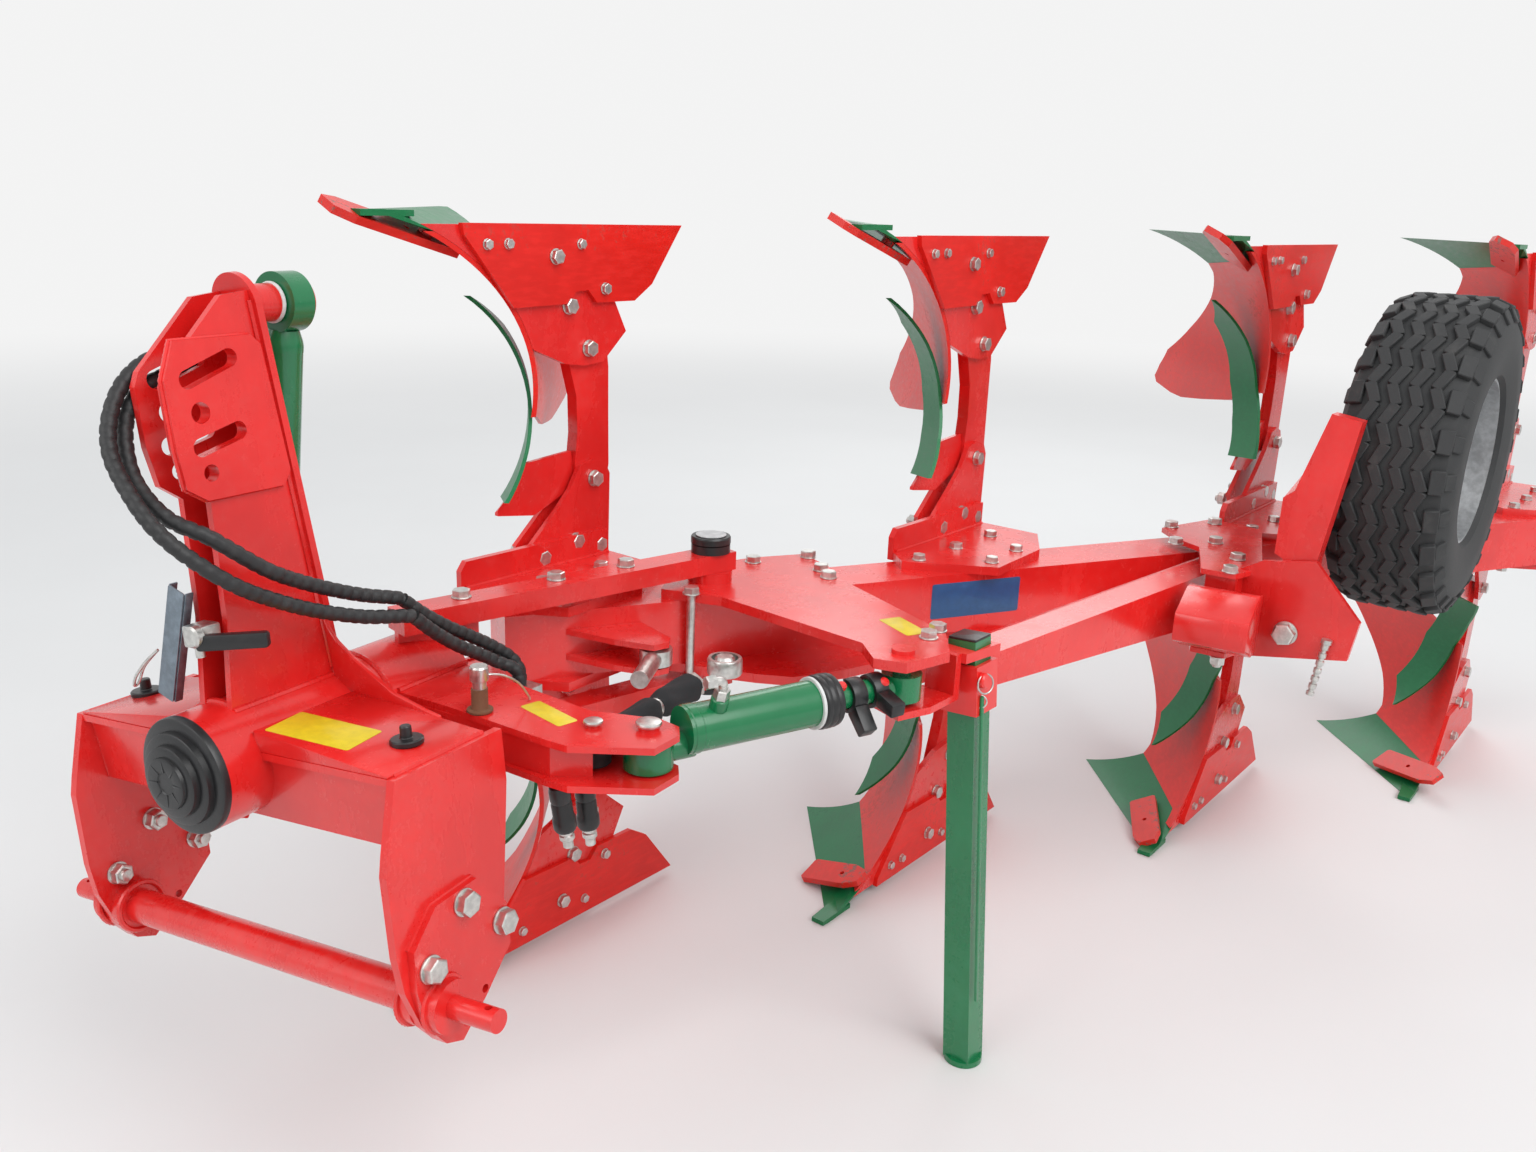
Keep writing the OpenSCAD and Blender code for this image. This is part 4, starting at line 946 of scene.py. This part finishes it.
SLEEVE_END = 322
SLEEVE_ROUTE = ((18, 0, 0), (90, 3, 2), (170, -2, 5), (250, 3, 1), (SLEEVE_END, 0, 0))
sleeve, length = swept("Woven_Sleeve", smooth_route(SLEEVE_ROUTE, 3), woven, 40)
eye = turned(((0, -24), (28, -24), (30, -22), (30, 22), (28, 24), (0, 24)))
sleeve = join("Woven_Sleeve", [sleeve, eye])
sleeve.data.transform(LINK)
give(sleeve, "link_cylinder", SLEEVE)
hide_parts("link_sleeve")
strap = turned(((14, 0), (17.4, 0), (17.8, 1), (17.8, 7), (17.4, 8), (14, 8)), LINK @ facing((190, -1, 4), AHEAD))
lock = hexagon(44, 16)
lock.data.transform(LINK @ facing((SLEEVE_END, 0, 0), AHEAD))
LINK_EYE = LINK @ shift(LINK_LENGTH, 0, 0)
ball = turned(((0, -20), (16, -20), (21, -15), (24, -8), (25, 0), (24, 8), (21, 15), (16, 20), (0, 20)), LINK_EYE)
lip = turned(((27, -17), (33, -17), (35, -13), (35, 13), (33, 17), (27, 17)), LINK_EYE)
give(join("Rod_End_Ball", [strap, lock, ball, lip]), "link_cylinder", ZINC)
print("link dressed, sleeve", round(length), "mm long")

# %% [markdown]
# The stand leg is a square tube with a black push-in cap. A red pin with a spring ring goes through its
# socket, and a thin green strip with a second ring hangs on the socket. On the arm of the carriage stands
# a short rusty tube that holds the transport pin, with a thin wire to keep it from getting lost.

# %% Stand pin and transport pin
STAND = FIELD @ shift(140, 975, -840) @ rotate(4.3, "X")
STAND_TOP = 926
lid = cut_plate(rounded(61, 61, 3), 5, STAND @ shift(0, 0, STAND_TOP), 1.5)
give(lid, "stand", BLACK_CAP).name = "Stand_Cap"
pin = turned(((0, 0), (13, 0), (15, 2), (15, 10), (12, 13), (0, 13)), STAND @ facing((24, 40, 852), LEFT))
give(pin, "beam", RED).name = "Stand_Pin"
rings = [wire_path("Ring", circle((24, 50, 846), 19, (0.35, 1, 0.1), 24), 1.8, STAND),
         wire_path("Ring", circle((24, 40, 808), 12, (0.8, 0.6, 0.2), 20), 1.6, STAND)]
give(join("Stand_Pin_Rings", rings), "beam", ZINC)
strip = cut_plate(rounded(10, 660, 4), 5, STAND @ facing((24, 40.6, 490), LEFT), 1)
give(strip, "beam", GREEN).name = "Stand_Side_Strip"
POST = ((0, 0), (20, 0), (22, 2), (22, 5), (15, 6), (14, 8), (14, 42), (0, 42))
give(turned(POST, LEVEL @ shift(1022, 262, 41)), "carriage", RUSTY).name = "Transport_Pin_Tube"
PIN = ((0, 0), (12, 0), (12, 14), (15, 15), (16, 17), (16, 38), (14, 41), (0, 41))
KEEPER = ((1022, 262, 104), (1010, 274, 106), (985, 284, 98), (958, 292, 78), (940, 298, 50), (938, 299, 43))
pin = [turned(PIN, LEVEL @ shift(1022, 262, 82)), wire_path("Keeper", KEEPER, 2.2, LEVEL)]
give(join("Transport_Pin", pin), "carriage", ZINC)
print("stand and transport pins done")

# %% [markdown]
# Ahead of the wheel bracket a folded cover closes the gap between its two plates. The wheel's cross
# plate carries a stop pin with notches. A long zinc bolt holds the two bracket plates at their distance,
# and two hose ends with black grips are parked under the arm of the headstock.

# %% Folded cover and notched pin
EDGE = ((26, 66), (118, 30), (122, 24), (122, -24), (118, -30), (26, -66))
FOLD = ((0, 70), (0, 66), *EDGE, (0, -66), (0, -70), (28, -70), (122, -33), (126, -26), (126, 26), (122, 33),
        (28, 70))
COVER = FIELD @ shift(-594, 1062, 0) @ rotate(8.5, "Z")
COVER_WIDTH = 158
cover = [cut_plate(FOLD, COVER_WIDTH, COVER @ shift(0, COVER_WIDTH, 0) @ rotate(90, "X"), 1.2)]
for side in (4, COVER_WIDTH):
    cheek = ((-20, -66), *EDGE[::-1], (-20, 66))
    cover.append(cut_plate(cheek, 4, COVER @ shift(0, side, 0) @ rotate(90, "X"), 1))
give(join("Bracket_Cover", cover), "beam", RED)
notched = [(0, 0), (9, 0)]
for k in range(6):
    notched += [(9, 8 + 19 * k), (6, 10 + 19 * k), (6, 15 + 19 * k), (9, 17 + 19 * k)]
pin = turned(notched + [(9, 124), (12, 126), (12, 136), (0, 138)],
             FIELD @ facing((-672, 1340, -150), (-0.05, 0.12, 1)), 24)
give(pin, "beam", ZINC).name = "Notched_Pin"
spread = [turned(((0, -PLATE_TOP), (9, -PLATE_TOP), (9, PLATE_TOP), (0, PLATE_TOP)), FIELD @ shift(337, 355, 0)),
          stood("bolt", FIELD, (337, 355, PLATE_TOP), UP, 20, 0.3),
          stood("nut", FIELD, (337, 355, -PLATE_TOP), DOWN, 20, 0.3)]
give(join("Spacer_Bolt", spread), "beam", ZINC)
GRIP = ((0, 0), (11, 0), (16, 4), (18, 12), (18, 30), (16.5, 34), (18, 38), (18, 62), (20, 66), (20, 84),
        (17, 90), (0, 90))
NIPPLE = ((0, 80), (11, 80), (11, 98), (13, 100), (13, 108), (9, 112), (9, 124), (0, 124))
ends, necks = [], []
for x, y, drop, slant in ((922, 402, 98, -0.09), (1000, 408, 70, -0.16)):
    hanging = ((x, y, -38), (x, y, -60), (x + 4, y, 22 - drop), (x, y, -drop))
    here = LEVEL @ facing((x, y, 8 - drop), (slant, 0.05, -1))
    ends += [wire_path("Hose", hanging, 8, LEVEL, 3, 16), turned(GRIP, here)]
    necks.append(turned(NIPPLE, here))
give(join("Parked_Hose_Ends", ends), "carriage", BLACK_CAP)
give(join("Parked_Hose_Nipples", necks), "carriage", ZINC)
print("cover, pins and parked hoses done")

# %% Finish
for pattern in PATTERNS.values():
    bpy.data.objects.remove(pattern)
